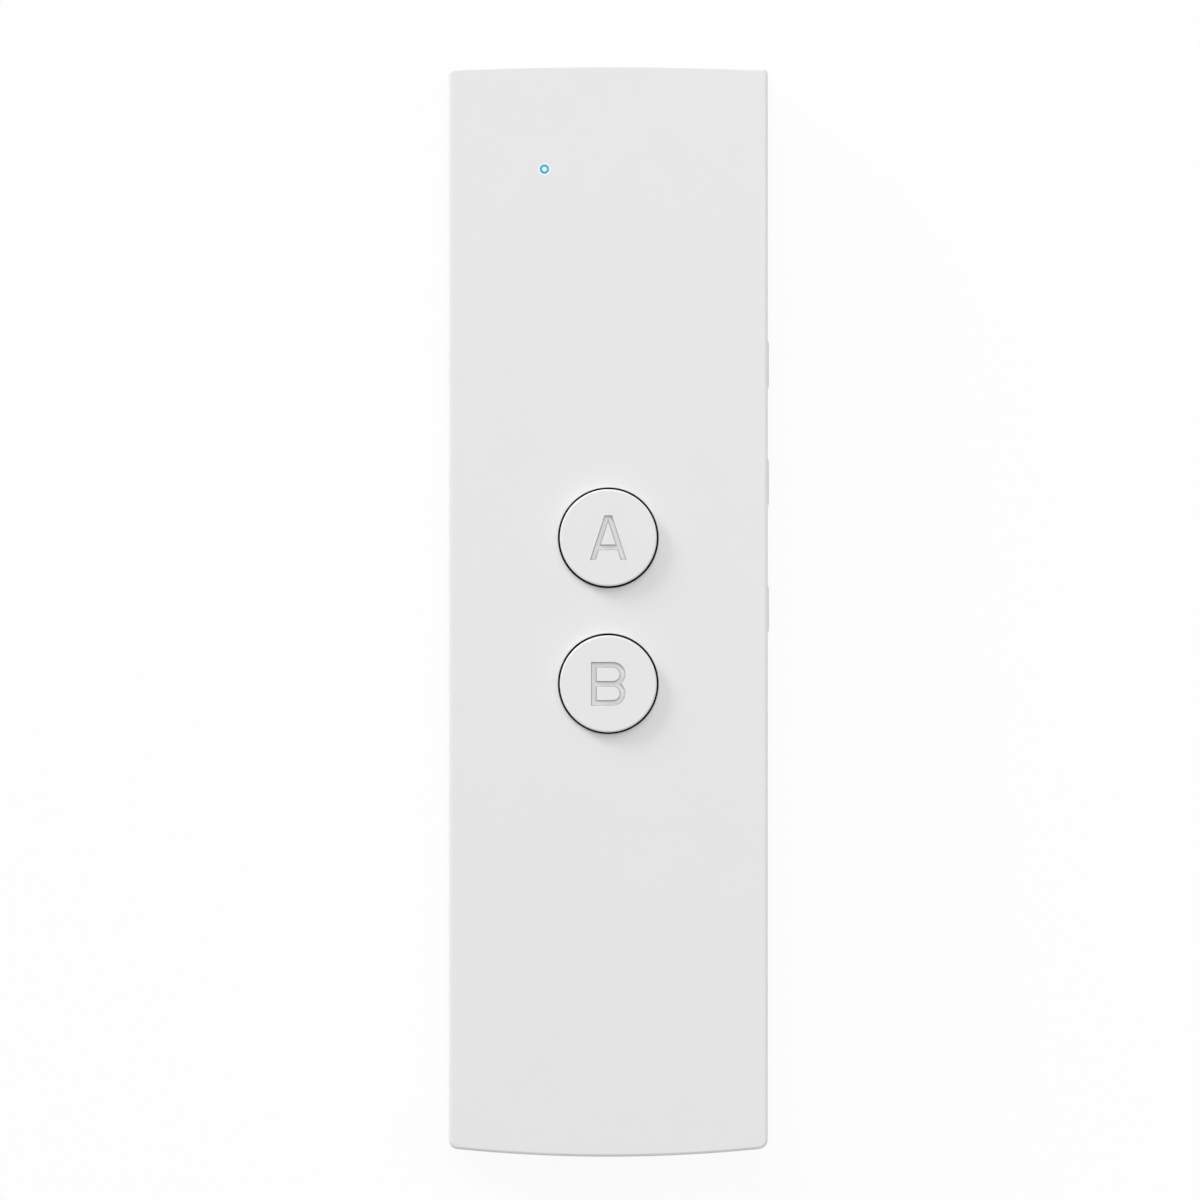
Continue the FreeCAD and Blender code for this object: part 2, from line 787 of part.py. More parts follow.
def make_rear_housing():
    """Rear tray: floor, lip, snap hooks, ribs, board posts and speaker grille."""
    body = new_body("rear_housing")
    plan = flat_sketch(body, 0)
    case_plan(plan, as_size(0))
    pad_up(body, plan, dim.seam_height)
    round_case_corners(body)
    round_edges(body, dim.rear_edge_round, lambda edge: level_edge(edge, 0))
    bevel_edges(
        body, dim.seam_chamfer, dim.seam_chamfer, lambda edge: level_edge(edge, dim.seam_height)
    )

    lip = flat_sketch(body, dim.seam_height)
    case_plan(lip, lip_outer_inset)
    pad_up(body, lip, dim.lip_height)

    cavity = flat_sketch(body, dim.seam_height + dim.lip_height)
    case_plan(cavity, lip_inner_inset)
    cut_down(body, cavity, dim.seam_height + dim.lip_height - dim.rear_wall)

    hooks = flat_sketch(body, dim.seam_height + dim.lip_height - dim.hook_thick)
    draw_hooks(hooks, as_size(0))
    pad_up(body, hooks, dim.hook_thick)

    port_notch = flat_sketch(body, dim.seam_height + dim.lip_height)
    notch_deep = lip_inner_inset + dim.crown_bottom + dim.cut_margin
    notch_wide = dim.port_width + dim.port_opening_play * 4
    rectangle(port_notch, as_size(0), notch_deep / 2 - half_length, notch_wide, notch_deep)
    cut_down(body, port_notch, dim.lip_height)

    floor = dim.rear_wall
    speaker_rib = flat_sketch(body, floor)
    rib_radius = dim.speaker_radius + dim.speaker_rib_play
    circle(speaker_rib, 0, speaker_y, rib_radius + dim.speaker_rib_thick)
    circle(speaker_rib, 0, speaker_y, rib_radius)
    pad_up(body, speaker_rib, dim.speaker_rib_height)

    battery_ribs = flat_sketch(body, floor)
    rib_x = battery_side + dim.battery_rib_gap + dim.battery_rib_thick / 2
    rib_y = (battery_bottom_end + battery_top_end) / 2
    for side in (-1, 1):
        rectangle(battery_ribs, rib_x * side, rib_y, dim.battery_rib_thick, battery_length)
    pad_up(body, battery_ribs, dim.battery_rib_height)

    posts = flat_sketch(body, floor)
    post_x = tray_side - dim.board_post_room
    for side in (-1, 1):
        for number in range(POSTS_PER_SIDE):
            post_y = dim.board_post_pitch * (number - (POSTS_PER_SIDE - 1) / 2)
            circle(posts, post_x * side, post_y, dim.board_post_radius)
    pad_up(body, posts, board_bottom - floor - dim.board_post_play)

    for ring in range(GRILLE_RINGS + 1):
        holes = flat_sketch(body, floor)
        bind(holes, ".AttachmentOffset.Base.y", speaker_y)
        circle(holes, dim.grille_pitch * ring, 0, dim.grille_hole_radius)
        first_hole = cut_down(body, holes, floor)
        if ring == 0:
            continue
        pattern = body.newObject("PartDesign::PolarPattern", f"grille_ring_{ring}")
        pattern.Originals = [first_hole]
        pattern.Axis = (holes, ["N_Axis"])
        pattern.Angle = 360
        pattern.Occurrences = 6 * ring
        body.Tip = pattern


def draw_mark_a(sketch):
    """Draw a plain letter A of even stroke, with a flat tip."""
    half_tall = dim.mark_a_tall / 2
    half_wide = dim.mark_a_wide / 2
    half_tip = dim.mark_a_tip / 2
    lean = (half_wide - half_tip) / dim.mark_a_tall
    leg = dim.mark_stroke * root(1 + lean * lean)
    bar_top = -dim.mark_a_bar_drop
    bar_low = bar_top - dim.mark_stroke

    def inner_leg(y):
        return half_wide - leg - lean * (y + half_tall)

    outline(sketch, [
        ((inner_leg(-half_tall), -half_tall),),
        ((half_wide, -half_tall),),
        ((half_tip, half_tall),),
        ((-half_tip, half_tall),),
        ((-half_wide, -half_tall),),
        ((-inner_leg(-half_tall), -half_tall),),
        ((-inner_leg(bar_low), bar_low),),
        ((inner_leg(bar_low), bar_low),),
    ])
    peak = (half_wide - leg) / lean - half_tall
    outline(sketch, [
        ((-inner_leg(bar_top), bar_top),),
        ((inner_leg(bar_top), bar_top),),
        ((0, peak),),
    ])


def draw_mark_b(sketch):
    """Draw a plain letter B of even stroke, with two equal bowls."""
    half_tall = dim.mark_b_tall / 2
    left = -dim.mark_b_wide / 2
    stroke = dim.mark_stroke
    hole_tall = (dim.mark_b_tall - stroke * 3) / 2
    inner = hole_tall / 2
    outer = inner + stroke
    bowl_x = dim.mark_b_wide / 2 - outer
    bowl_y = (hole_tall + stroke) / 2
    waist_x = bowl_x + root(outer * outer - bowl_y * bowl_y)
    outline(sketch, [
        ((bowl_x, -half_tall),),
        ((waist_x, 0), (bowl_x, -bowl_y)),
        ((bowl_x, half_tall), (bowl_x, bowl_y)),
        ((left, half_tall),),
        ((left, -half_tall),),
    ])
    for way in (-1, 1):
        low = bowl_y * way - inner
        high = bowl_y * way + inner
        outline(sketch, [
            ((bowl_x, low),),
            ((bowl_x, high), (bowl_x, bowl_y * way)),
            ((left + stroke, high),),
            ((left + stroke, low),),
        ])


def make_button(label, side, draw_mark):
    """Round button cap: skirt, retaining flange, anti-turn tab, centre post and sunk mark."""
    body = new_body(label)
    cap_top = dim.case_thickness + dim.button_raise
    skirt = flat_sketch(body, flange_bottom)
    circle(skirt, 0, 0, dim.button_radius)
    pad_up(body, skirt, cap_top - flange_bottom)
    flange = flat_sketch(body, flange_bottom)
    circle(flange, 0, 0, flange_radius)
    pad_up(body, flange, dim.flange_thick)
    tab = flat_sketch(body, flange_bottom)
    tab_deep = dim.tab_reach + dim.cut_margin
    tab_middle = (flange_radius - dim.cut_margin + tab_deep / 2) * side
    rectangle(tab, as_size(0), tab_middle, dim.tab_width, tab_deep)
    pad_up(body, tab, dim.flange_thick)
    hollow = flat_sketch(body, flange_bottom)
    circle(hollow, 0, 0, dim.button_radius - dim.cap_rim)
    circle(hollow, 0, 0, dim.post_radius)
    cut_up(body, hollow, cap_top - dim.cap_skin - flange_bottom)
    post = flat_sketch(body, plunger_top)
    circle(post, 0, 0, dim.post_radius)
    pad_up(body, post, cap_top - dim.cap_skin - plunger_top)
    rim = lambda edge: level_edge(edge, cap_top) and round_of(edge, dim.button_radius)
    round_edges(body, dim.button_edge_round, rim)
    mark = flat_sketch(body, cap_top)
    draw_mark(mark)
    cut_down(body, mark, dim.mark_depth)
    move(body, 0, dim.button_pitch / 2 * side, 0)


def make_button_switch(label, side):
    """Click switch under a round button: base, metal cover and plunger."""
    middle = dim.button_pitch / 2 * side
    width = dim.switch_width
    well_radius = dim.plunger_foot_radius + dim.switch_well_play

    base = new_body(f"{label}_switch_base")
    block = flat_sketch(base, board_top)
    round_rectangle(block, as_size(0), as_size(0), width, width, dim.switch_leg_width / 2)
    pad_up(base, block, dim.switch_base_tall)
    well = flat_sketch(base, board_top + dim.switch_base_tall)
    circle(well, 0, 0, well_radius)
    cut_down(base, well, dim.switch_base_tall - dim.switch_floor)
    move(base, 0, middle, 0)

    cover = new_body(f"{label}_switch_cover")
    plate = flat_sketch(cover, board_top + dim.switch_base_tall)
    round_rectangle(plate, as_size(0), as_size(0), width, width, dim.switch_leg_width / 2)
    circle(plate, 0, 0, dim.plunger_radius + dim.plunger_play)
    pad_up(cover, plate, dim.switch_cover_thick)
    legs = flat_sketch(cover, switch_cover_top)
    leg_x = width / 2 + dim.switch_cover_thick / 2
    for way in (-1, 1):
        rectangle(legs, leg_x * way, as_size(0), dim.switch_cover_thick, dim.switch_leg_width * 2)
    pad_down(cover, legs, switch_cover_top - board_top)
    move(cover, 0, middle, 0)

    plunger = new_body(f"{label}_switch_plunger")
    foot_top = board_top + dim.switch_base_tall - dim.plunger_foot_play
    foot = flat_sketch(plunger, foot_top)
    circle(foot, 0, 0, dim.plunger_foot_radius)
    pad_down(plunger, foot, dim.plunger_foot_thick)
    stem = flat_sketch(plunger, foot_top)
    circle(stem, 0, 0, dim.plunger_radius)
    pad_up(plunger, stem, plunger_top - foot_top)
    move(plunger, 0, middle, 0)


def make_side_key(label, place):
    """Side key: bevelled head through the wall, retaining flange and pressing nub."""
    body = new_body(label)
    head = sketch_on(body, "YZ_Plane", -key_flange_outer)
    round_rectangle(head, as_size(0), as_size(0), dim.key_length, dim.key_tall, dim.key_corner)
    pad_up(body, head, key_flange_outer + dim.key_proud)
    outer_face = lambda edge: (
        near(edge.BoundBox.XMin, dim.key_proud) and near(edge.BoundBox.XMax, dim.key_proud)
    )
    bevel_edges(body, dim.key_slope_rise, dim.key_slope_run, outer_face)
    flange = sketch_on(body, "YZ_Plane", -key_flange_inner)
    reach = dim.key_flange_reach * 2
    rectangle(flange, as_size(0), as_size(0), dim.key_length + reach * 2, dim.key_tall + reach)
    pad_up(body, flange, dim.key_flange_thick)
    nub = sketch_on(body, "YZ_Plane", -key_nub_tip)
    nub_level = side_switch_middle - dim.key_height
    rectangle(nub, as_size(0), nub_level, dim.key_nub_wide, dim.key_nub_tall)
    pad_up(body, nub, dim.key_nub_length)
    move(body, half_width, getattr(dim, place), dim.key_height)


def make_side_switch(label, place):
    """Click switch at the board's edge behind a side key: base, metal cover and plunger."""
    y = getattr(dim, place)
    deep = dim.side_switch_deep
    play = dim.side_plunger_play

    base = new_body(f"{label}_switch_base")
    block = sketch_on(base, "YZ_Plane", -side_switch_face)
    rectangle(block, as_size(0), as_size(0), dim.side_switch_long, dim.side_switch_tall)
    pad_down(base, block, deep)
    well = sketch_on(base, "YZ_Plane", -side_switch_face)
    well_wide = dim.side_plunger_wide + play * 2
    rectangle(well, as_size(0), as_size(0), well_wide, dim.side_plunger_tall + play * 2)
    cut_down(base, well, dim.side_well_deep)
    move(base, half_width, y, side_switch_middle)

    cover = new_body(f"{label}_switch_cover")
    skin = dim.side_cover_thick
    hood = sketch_on(cover, "YZ_Plane", -side_switch_face)
    side = dim.side_switch_long / 2
    top = dim.side_switch_tall / 2
    outline(hood, [
        ((side, -top),),
        ((side + skin, -top),),
        ((side + skin, top + skin),),
        ((-side - skin, top + skin),),
        ((-side - skin, -top),),
        ((-side, -top),),
        ((-side, top),),
        ((side, top),),
    ])
    pad_down(cover, hood, deep)
    move(cover, half_width, y, side_switch_middle)

    plunger = new_body(f"{label}_switch_plunger")
    bar = sketch_on(plunger, "YZ_Plane", -key_nub_tip)
    rectangle(bar, as_size(0), as_size(0), dim.side_plunger_wide, dim.side_plunger_tall)
    inside = dim.side_well_deep - dim.key_travel - dim.side_plunger_rest
    pad_down(plunger, bar, dim.side_plunger_stand + inside)
    move(plunger, half_width, y, side_switch_middle)


def make_main_board():
    """Main board, with the speaker's round cut-out, the socket's notch and the screw holes."""
    body = new_body("main_board")
    blank = flat_sketch(body, board_bottom)
    long = board_top_end - board_bottom_end
    middle = (board_top_end + board_bottom_end) / 2
    round_rectangle(blank, as_size(0), middle, board_side * 2, long, dim.board_thick)
    pad_up(body, blank, dim.board_thick)
    cut_out = flat_sketch(body, board_top)
    circle(cut_out, 0, speaker_y, dim.speaker_radius + dim.speaker_board_gap)
    cut_down(body, cut_out, dim.board_thick)
    notch = flat_sketch(body, board_top)
    notch_end = port_back + dim.port_board_play
    notch_start = board_bottom_end - dim.cut_margin
    notch_wide = dim.port_width + dim.port_board_play * 2
    notch_middle = (notch_end + notch_start) / 2
    rectangle(notch, as_size(0), notch_middle, notch_wide, notch_end - notch_start)
    cut_down(body, notch, dim.board_thick)
    holes = flat_sketch(body, board_top)
    for x, y in screw_places:
        circle(holes, x, y, dim.screw_radius + dim.screw_hole_play)
    cut_down(body, holes, dim.board_thick)


def make_board_screws():
    """Six board screws, each with a cross recess in its head."""
    screws = []
    for number, (x, y) in enumerate(screw_places, 1):
        head_level = board_bottom - dim.screw_head_thick
        head = solid_cylinder(
            f"screw_{number}_head", x, y, head_level, dim.screw_head_radius, dim.screw_head_thick
        )
        shank = solid_cylinder(
            f"screw_{number}_shank", x, y, board_bottom, dim.screw_radius, dim.screw_length
        )
        whole = doc.addObject("Part::Fuse", f"screw_{number}_blank")
        whole.Base = head
        whole.Tool = shank
        span, width = dim.recess_span, dim.recess_width
        for name, wide, deep in (("across", span, width), ("along", width, span)):
            groove = solid_box(
                f"screw_{number}_{name}", x, y, head_level, wide, deep, dim.recess_depth
            )
            whole = subtract(f"screw_{number}_{name}_cut", whole, groove)
        screws.append(whole)
    group("board_screws", screws)


def make_status_lamp():
    """Light pipe through the front face, and the light source under it."""
    pipe = new_body("lamp_light_pipe")
    stem_level = lamp_source_top + dim.lamp_air
    stem = flat_sketch(pipe, stem_level)
    circle(stem, 0, 0, dim.lamp_stem_radius)
    pad_up(pipe, stem, front_inside - stem_level)
    flange = flat_sketch(pipe, front_inside)
    circle(flange, 0, 0, dim.lamp_flange_radius)
    pad_down(pipe, flange, dim.lamp_flange_thick)
    window = flat_sketch(pipe, front_inside)
    circle(window, 0, 0, dim.lamp_radius)
    pad_up(pipe, window, dim.front_wall)
    move(pipe, -dim.lamp_side_place, lamp_y, 0)

    source = new_body("status_lamp")
    block = flat_sketch(source, board_top)
    rectangle(block, as_size(0), as_size(0), dim.lamp_source_long, dim.lamp_source_wide)
    pad_up(source, block, dim.lamp_source_tall)
    step = flat_sketch(source, lamp_source_top)
    step_long = dim.lamp_source_long / 4
    for way in (-1, 1):
        step_x = (dim.lamp_source_long - step_long) / 2 * way
        rectangle(step, step_x, as_size(0), step_long, dim.lamp_source_wide)
    cut_down(source, step, dim.lamp_source_tall / 3)
    move(source, -dim.lamp_side_place, lamp_y, 0)


def make_charging_socket():
    """Charging socket in the board's notch: metal shell, insulating tongue and contacts."""
    shell = new_body("charging_socket_shell")
    tube = sketch_on(shell, "XZ_Plane", -port_front)
    port_shape(tube, as_size(0))
    port_shape(tube, dim.port_skin)
    pad_down(shell, tube, dim.port_deep)
    wings = flat_sketch(shell, board_top)
    wing_wide = dim.port_wing + dim.port_skin
    wing_start = board_bottom_end
    wing_x = dim.port_width / 2 - dim.port_skin + wing_wide / 2
    for side in (-1, 1):
        wing_y = (wing_start + port_back) / 2
        rectangle(wings, wing_x * side, wing_y, wing_wide, port_back - wing_start)
    pad_up(shell, wings, dim.port_skin)

    tongue = new_body("charging_socket_tongue")
    block = sketch_on(tongue, "XZ_Plane", -port_back)
    port_shape(block, dim.port_skin + dim.port_block_play)
    pad_up(tongue, block, dim.port_block_deep)
    tip = sketch_on(tongue, "XZ_Plane", dim.port_block_deep - port_back)
    tongue_top = port_level + dim.port_tall / 4
    tongue_middle = tongue_top - dim.tongue_thick / 2
    rectangle(tip, as_size(0), tongue_middle, dim.tongue_wide, dim.tongue_thick)
    pad_up(tongue, tip, dim.tongue_long)

    contacts = []
    contact_level = tongue_top - dim.tongue_thick - dim.contact_thick
    contact_y = port_back - dim.port_block_deep - dim.contact_long / 2
    for number in range(PORT_CONTACTS):
        x = dim.contact_pitch * (number - (PORT_CONTACTS - 1) / 2)
        contacts.append(solid_box(
            f"contact_{number + 1}", x, contact_y, contact_level,
            dim.contact_wide, dim.contact_long, dim.contact_thick,
        ))
    group("charging_socket_contacts", contacts)


def make_microphone():
    """Microphone capsule with two pins, in a rubber boot against the bottom wall."""
    boot_radius = dim.mic_radius + dim.boot_play + dim.boot_wall
    boot_front = bottom_wall_inside(dim.mic_side_place + boot_radius) + dim.boot_gap
    mic_front = boot_front + dim.boot_front
    mic_back = mic_front + dim.mic_deep

    boot = new_body("microphone_boot")
    cup = sketch_on(boot, "XZ_Plane", -boot_front)
    circle(cup, 0, 0, boot_radius)
    pad_down(boot, cup, dim.boot_front + dim.mic_deep)
    bore = sketch_on(boot, "XZ_Plane", -mic_back)
    circle(bore, 0, 0, dim.mic_radius + dim.boot_play)
    cut_up(boot, bore, dim.mic_deep)
    sound_hole = sketch_on(boot, "XZ_Plane", -boot_front)
    circle(sound_hole, 0, 0, dim.mic_hole_radius)
    cut_down(boot, sound_hole, dim.boot_front)
    move(boot, dim.mic_side_place, 0, dim.mic_height)

    capsule = new_body("microphone")
    can = sketch_on(capsule, "XZ_Plane", -mic_front)
    circle(can, 0, 0, dim.mic_radius)
    pad_down(capsule, can, dim.mic_deep)
    pins = sketch_on(capsule, "XZ_Plane", -mic_back)
    pin_level = board_top + dim.mic_pin_radius - dim.mic_height
    for side in (-1, 1):
        circle(pins, dim.mic_pin_spread * side, pin_level, dim.mic_pin_radius)
    pad_down(capsule, pins, dim.mic_pin_long)
    move(capsule, dim.mic_side_place, 0, dim.mic_height)


def spin(body, steps):
    """Turn a profile, drawn in radius and height, all the way round the body's upright axis."""
    profile = sketch_on(body, "XZ_Plane", 0)
    outline(profile, steps)
    turned = body.newObject("PartDesign::Revolution", f"{body.Name}_revolution")
    turned.Profile = profile
    turned.ReferenceAxis = (profile, ["V_Axis"])
    turned.Angle = 360


def make_speaker():
    """Speaker: dust mesh, gasket, cone, voice coil, frame with terminal block, and magnet."""
    rim_radius = dim.speaker_radius - dim.speaker_rim_inset
    gasket_inner = rim_radius - dim.gasket_wide
    mesh = new_body("speaker_mesh")
    disc = flat_sketch(mesh, dim.rear_wall)
    circle(disc, 0, 0, gasket_inner - dim.mesh_play)
    pad_up(mesh, disc, dim.mesh_thick)
    move(mesh, 0, speaker_y, 0)

    gasket = new_body("speaker_gasket")
    ring = flat_sketch(gasket, dim.rear_wall)
    circle(ring, 0, 0, rim_radius)
    circle(ring, 0, 0, gasket_inner)
    pad_up(gasket, ring, dim.gasket_thick)
    move(gasket, 0, speaker_y, 0)

    cone = new_body("speaker_cone")
    inner = speaker_inner - dim.speaker_rim_inset
    roll_inner = inner - dim.cone_roll_height * 5
    lower = [
        (0, cone_rim_level + dim.cone_dome_height),
        (dim.coil_radius, cone_rim_level + dim.cone_flare_height),
        (roll_inner, cone_rim_level),
        ((roll_inner + inner) / 2, cone_rim_level + dim.cone_roll_height),
        (inner, cone_rim_level),
        (rim_radius, cone_rim_level),
    ]
    upper = [(radius, level + dim.cone_thick) for radius, level in reversed(lower)]
    spin(cone, [(point,) for point in lower + upper])
    move(cone, 0, speaker_y, 0)

    coil = new_body("speaker_coil")
    winding = flat_sketch(coil, cone_rim_level + dim.cone_dome_height + dim.cone_thick)
    circle(winding, 0, 0, dim.coil_radius)
    circle(winding, 0, 0, dim.coil_radius - dim.coil_thick)
    pad_up(coil, winding, dim.coil_tall)
    move(coil, 0, speaker_y, 0)

    frame = new_body("speaker_frame")
    can = flat_sketch(frame, speaker_level)
    circle(can, 0, 0, dim.speaker_radius)
    pad_up(frame, can, dim.speaker_tall)
    block = flat_sketch(frame, terminal_level - dim.terminal_block_tall / 2)
    block_deep = dim.terminal_block_reach + dim.speaker_wall * 2
    block_y = block_deep / 2 - dim.speaker_radius - dim.terminal_block_reach
    rectangle(block, as_size(0), block_y, dim.terminal_block_wide, block_deep)
    pad_up(frame, block, dim.terminal_block_tall)
    hollow = flat_sketch(frame, speaker_level)
    circle(hollow, 0, 0, speaker_inner)
    cut_up(frame, hollow, dim.speaker_tall - dim.speaker_plate)
    vent = flat_sketch(frame, speaker_top)
    circle(vent, 0, 0, dim.speaker_vent_radius)
    cut_down(frame, vent, dim.speaker_plate)
    move(frame, 0, speaker_y, 0)

    magnet = new_body("speaker_magnet")
    puck = flat_sketch(magnet, speaker_top)
    circle(puck, 0, 0, dim.magnet_radius)
    pad_up(magnet, puck, dim.magnet_tall)
    magnet_top = speaker_top + dim.magnet_tall
    round_edges(magnet, dim.cone_thick, lambda edge: level_edge(edge, magnet_top))
    move(magnet, 0, speaker_y, 0)

    terminals = []
    for side in (-1, 1):
        terminals.append(solid_box(
            f"terminal_{side + 2}", dim.terminal_spread * side,
            terminal_face - dim.terminal_thick / 2, terminal_level - dim.terminal_tall / 2,
            dim.terminal_wide, dim.terminal_thick, dim.terminal_tall,
        ))
    group("speaker_terminals", terminals)


def make_battery():
    """Battery: cell, foam pad, tabs and guard board."""
    middle = (battery_bottom_end + battery_top_end) / 2
    cell = new_body("battery_cell")
    block = flat_sketch(cell, battery_level)
    rectangle(block, as_size(0), as_size(0), battery_side * 2, battery_length)
    pad_up(cell, block, battery_top - battery_level)
    long_edge = lambda edge: edge.BoundBox.YLength > battery_length.number / 2
    edge_round = smaller(dim.battery_edge_round, (battery_top - battery_level) / 3)
    round_edges(cell, edge_round, long_edge)
    move(cell, 0, middle, 0)

    foam = new_body("battery_foam_pad")
    pad = flat_sketch(foam, dim.rear_wall)
    margin = dim.foam_margin * 2
    foam_wide = battery_side * 2 - margin
    foam_long = battery_length - margin
    round_rectangle(pad, as_size(0), as_size(0), foam_wide, foam_long, dim.foam_margin / 2)
    pad_up(foam, pad, dim.foam_thick)
    move(foam, 0, middle, 0)

    guard = new_body("battery_guard_board")
    guard_middle = guard_board_end - dim.guard_board_wide / 2
    plate = flat_sketch(guard, connector_level - dim.guard_board_thick / 2)
    rectangle(plate, as_size(0), as_size(0), dim.guard_board_length, dim.guard_board_wide)
    pad_up(guard, plate, dim.guard_board_thick)
    move(guard, 0, guard_middle, 0)

    tabs = []
    tab_level = connector_level - dim.battery_tab_thick / 2
    tab_y = battery_top_end + dim.guard_board_gap / 2
    for side in (-1, 1):
        tabs.append(solid_box(
            f"battery_tab_{side + 2}", dim.battery_tab_spread * side, tab_y, tab_level,
            dim.battery_tab_wide, dim.guard_board_gap, dim.battery_tab_thick,
        ))
    group("battery_tabs", tabs)


def make_battery_connector():
    """Connector under the board: the socket and the battery's plug seated in it."""
    opening_wide = dim.connector_wide - dim.connector_wall * 2
    opening_tall = dim.connector_tall - dim.connector_wall * 2

    socket = new_body("battery_socket")
    block = sketch_on(socket, "XZ_Plane", -connector_front)
    rectangle(block, as_size(0), connector_level, dim.connector_wide, dim.connector_tall)
    pad_down(socket, block, dim.connector_deep)
    opening = sketch_on(socket, "XZ_Plane", -connector_front)
    rectangle(opening, as_size(0), connector_level, opening_wide, opening_tall)
    cut_down(socket, opening, dim.plug_seat)
    move(socket, -dim.connector_side_place, 0, 0)

    plug = new_body("battery_plug")
    shank = sketch_on(plug, "XZ_Plane", -plug_back)
    shank_wide = opening_wide - dim.plug_play * 2
    rectangle(shank, as_size(0), connector_level, shank_wide, opening_tall - dim.plug_play * 2)
    pad_down(plug, shank, dim.plug_stand + dim.plug_seat)
    move(plug, -dim.connector_side_place, 0, 0)


def rounded_path(points):
    """Join straight runs by arcs, each as large as its two runs allow, and give the length."""
    corners = [FreeCAD.Vector(*(as_size(part).number for part in point)) for point in points]
    edges = []
    radii = []
    begin = corners[0]
    for before, corner, after in zip(corners, corners[1:], corners[2:]):
        inward = (corner - before).normalize()
        outward = (after - corner).normalize()
        turn = inward.getAngle(outward)
        reach = 0.45 * min((corner - before).Length, (after - corner).Length)
        radii.append(reach / math.tan(turn / 2))
        arc_begin = corner - inward * reach
        arc_end = corner + outward * reach
        bisector = (outward - inward).normalize()
        middle = corner + bisector * (radii[-1] / math.cos(turn / 2) - radii[-1])
        edges.append(Part.LineSegment(begin, arc_begin).toShape())
        edges.append(Part.Arc(arc_begin, middle, arc_end).toShape())
        begin = arc_end
    edges.append(Part.LineSegment(begin, corners[-1]).toShape())
    return Part.Wire(edges), radii


def make_wire(label, points, radius):
    """Sweep a round wire along its route."""
    path, radii = rounded_path(points)
    first = path.Edges[0]
    start = first.valueAt(first.FirstParameter)
    heading = first.tangentAt(first.FirstParameter)
    section = Part.Wire(Part.makeCircle(radius.number, start, heading))
    piece = doc.addObject("Part::Feature", label)
    piece.Shape = path.makePipeShell([section], True, False)
    piece.Placement = FreeCAD.Placement()
    expected = math.pi * radius.number ** 2 * path.Length
    print(label, "radii", [round(bend, 2) for bend in radii],
          "volume over section times length", round(piece.Shape.Volume / expected, 5))
    keep(piece, label)


def make_wires():
    """Battery wires from guard board to plug, and speaker wires from terminals to the board."""
    run = dim.battery_wire_room / 3
    for name, side in (("red", -1), ("black", 1)):
        end_x = -dim.connector_side_place + dim.battery_wire_spread * side
        start_x = end_x + dim.battery_wire_drift
        make_wire(f"battery_wire_{name}", [
            (start_x, guard_board_end, connector_level),
            (start_x, guard_board_end + run, connector_level),
            (end_x, plug_back - run, connector_level),
            (end_x, plug_back, connector_level),
        ], dim.battery_wire_radius)

    joints = []
    for name, side in (("red", -1), ("black", 1)):
        start_x = dim.terminal_spread * side
        end_x = start_x - dim.speaker_wire_drift
        make_wire(f"speaker_wire_{name}", [
            (start_x, speaker_wire_start, terminal_level),
            (start_x, speaker_wire_start - dim.speaker_wire_run, terminal_level),
            (end_x, speaker_wire_end + dim.speaker_wire_run, terminal_level),
            (end_x, speaker_wire_end, terminal_level),
        ], dim.speaker_wire_radius)
        joints.append(solid_box(
            f"joint_{name}", end_x, speaker_wire_end - dim.joint_deep / 2,
            board_bottom - dim.joint_tall, dim.joint_wide, dim.joint_deep, dim.joint_tall,
        ))
    group("solder_joints", joints)


def make_chip(label, x, y, wide, deep, tall):
    """Chip: a flat block with a small round mark sunk at one corner."""
    block = solid_box(f"{label}_block", x, y, board_top, wide, deep, tall)
    dot_room = dim.chip_dot_radius * 2
    dot_x = as_size(x) - wide / 2 + dot_room
    dot_y = as_size(y) + deep / 2 - dot_room
    dot_level = board_top + tall - dim.chip_dot_depth
    dot = solid_cylinder(
        f"{label}_dot", dot_x, dot_y, dot_level, dim.chip_dot_radius, dim.chip_dot_depth
    )
    keep(subtract(label, block, dot), label)


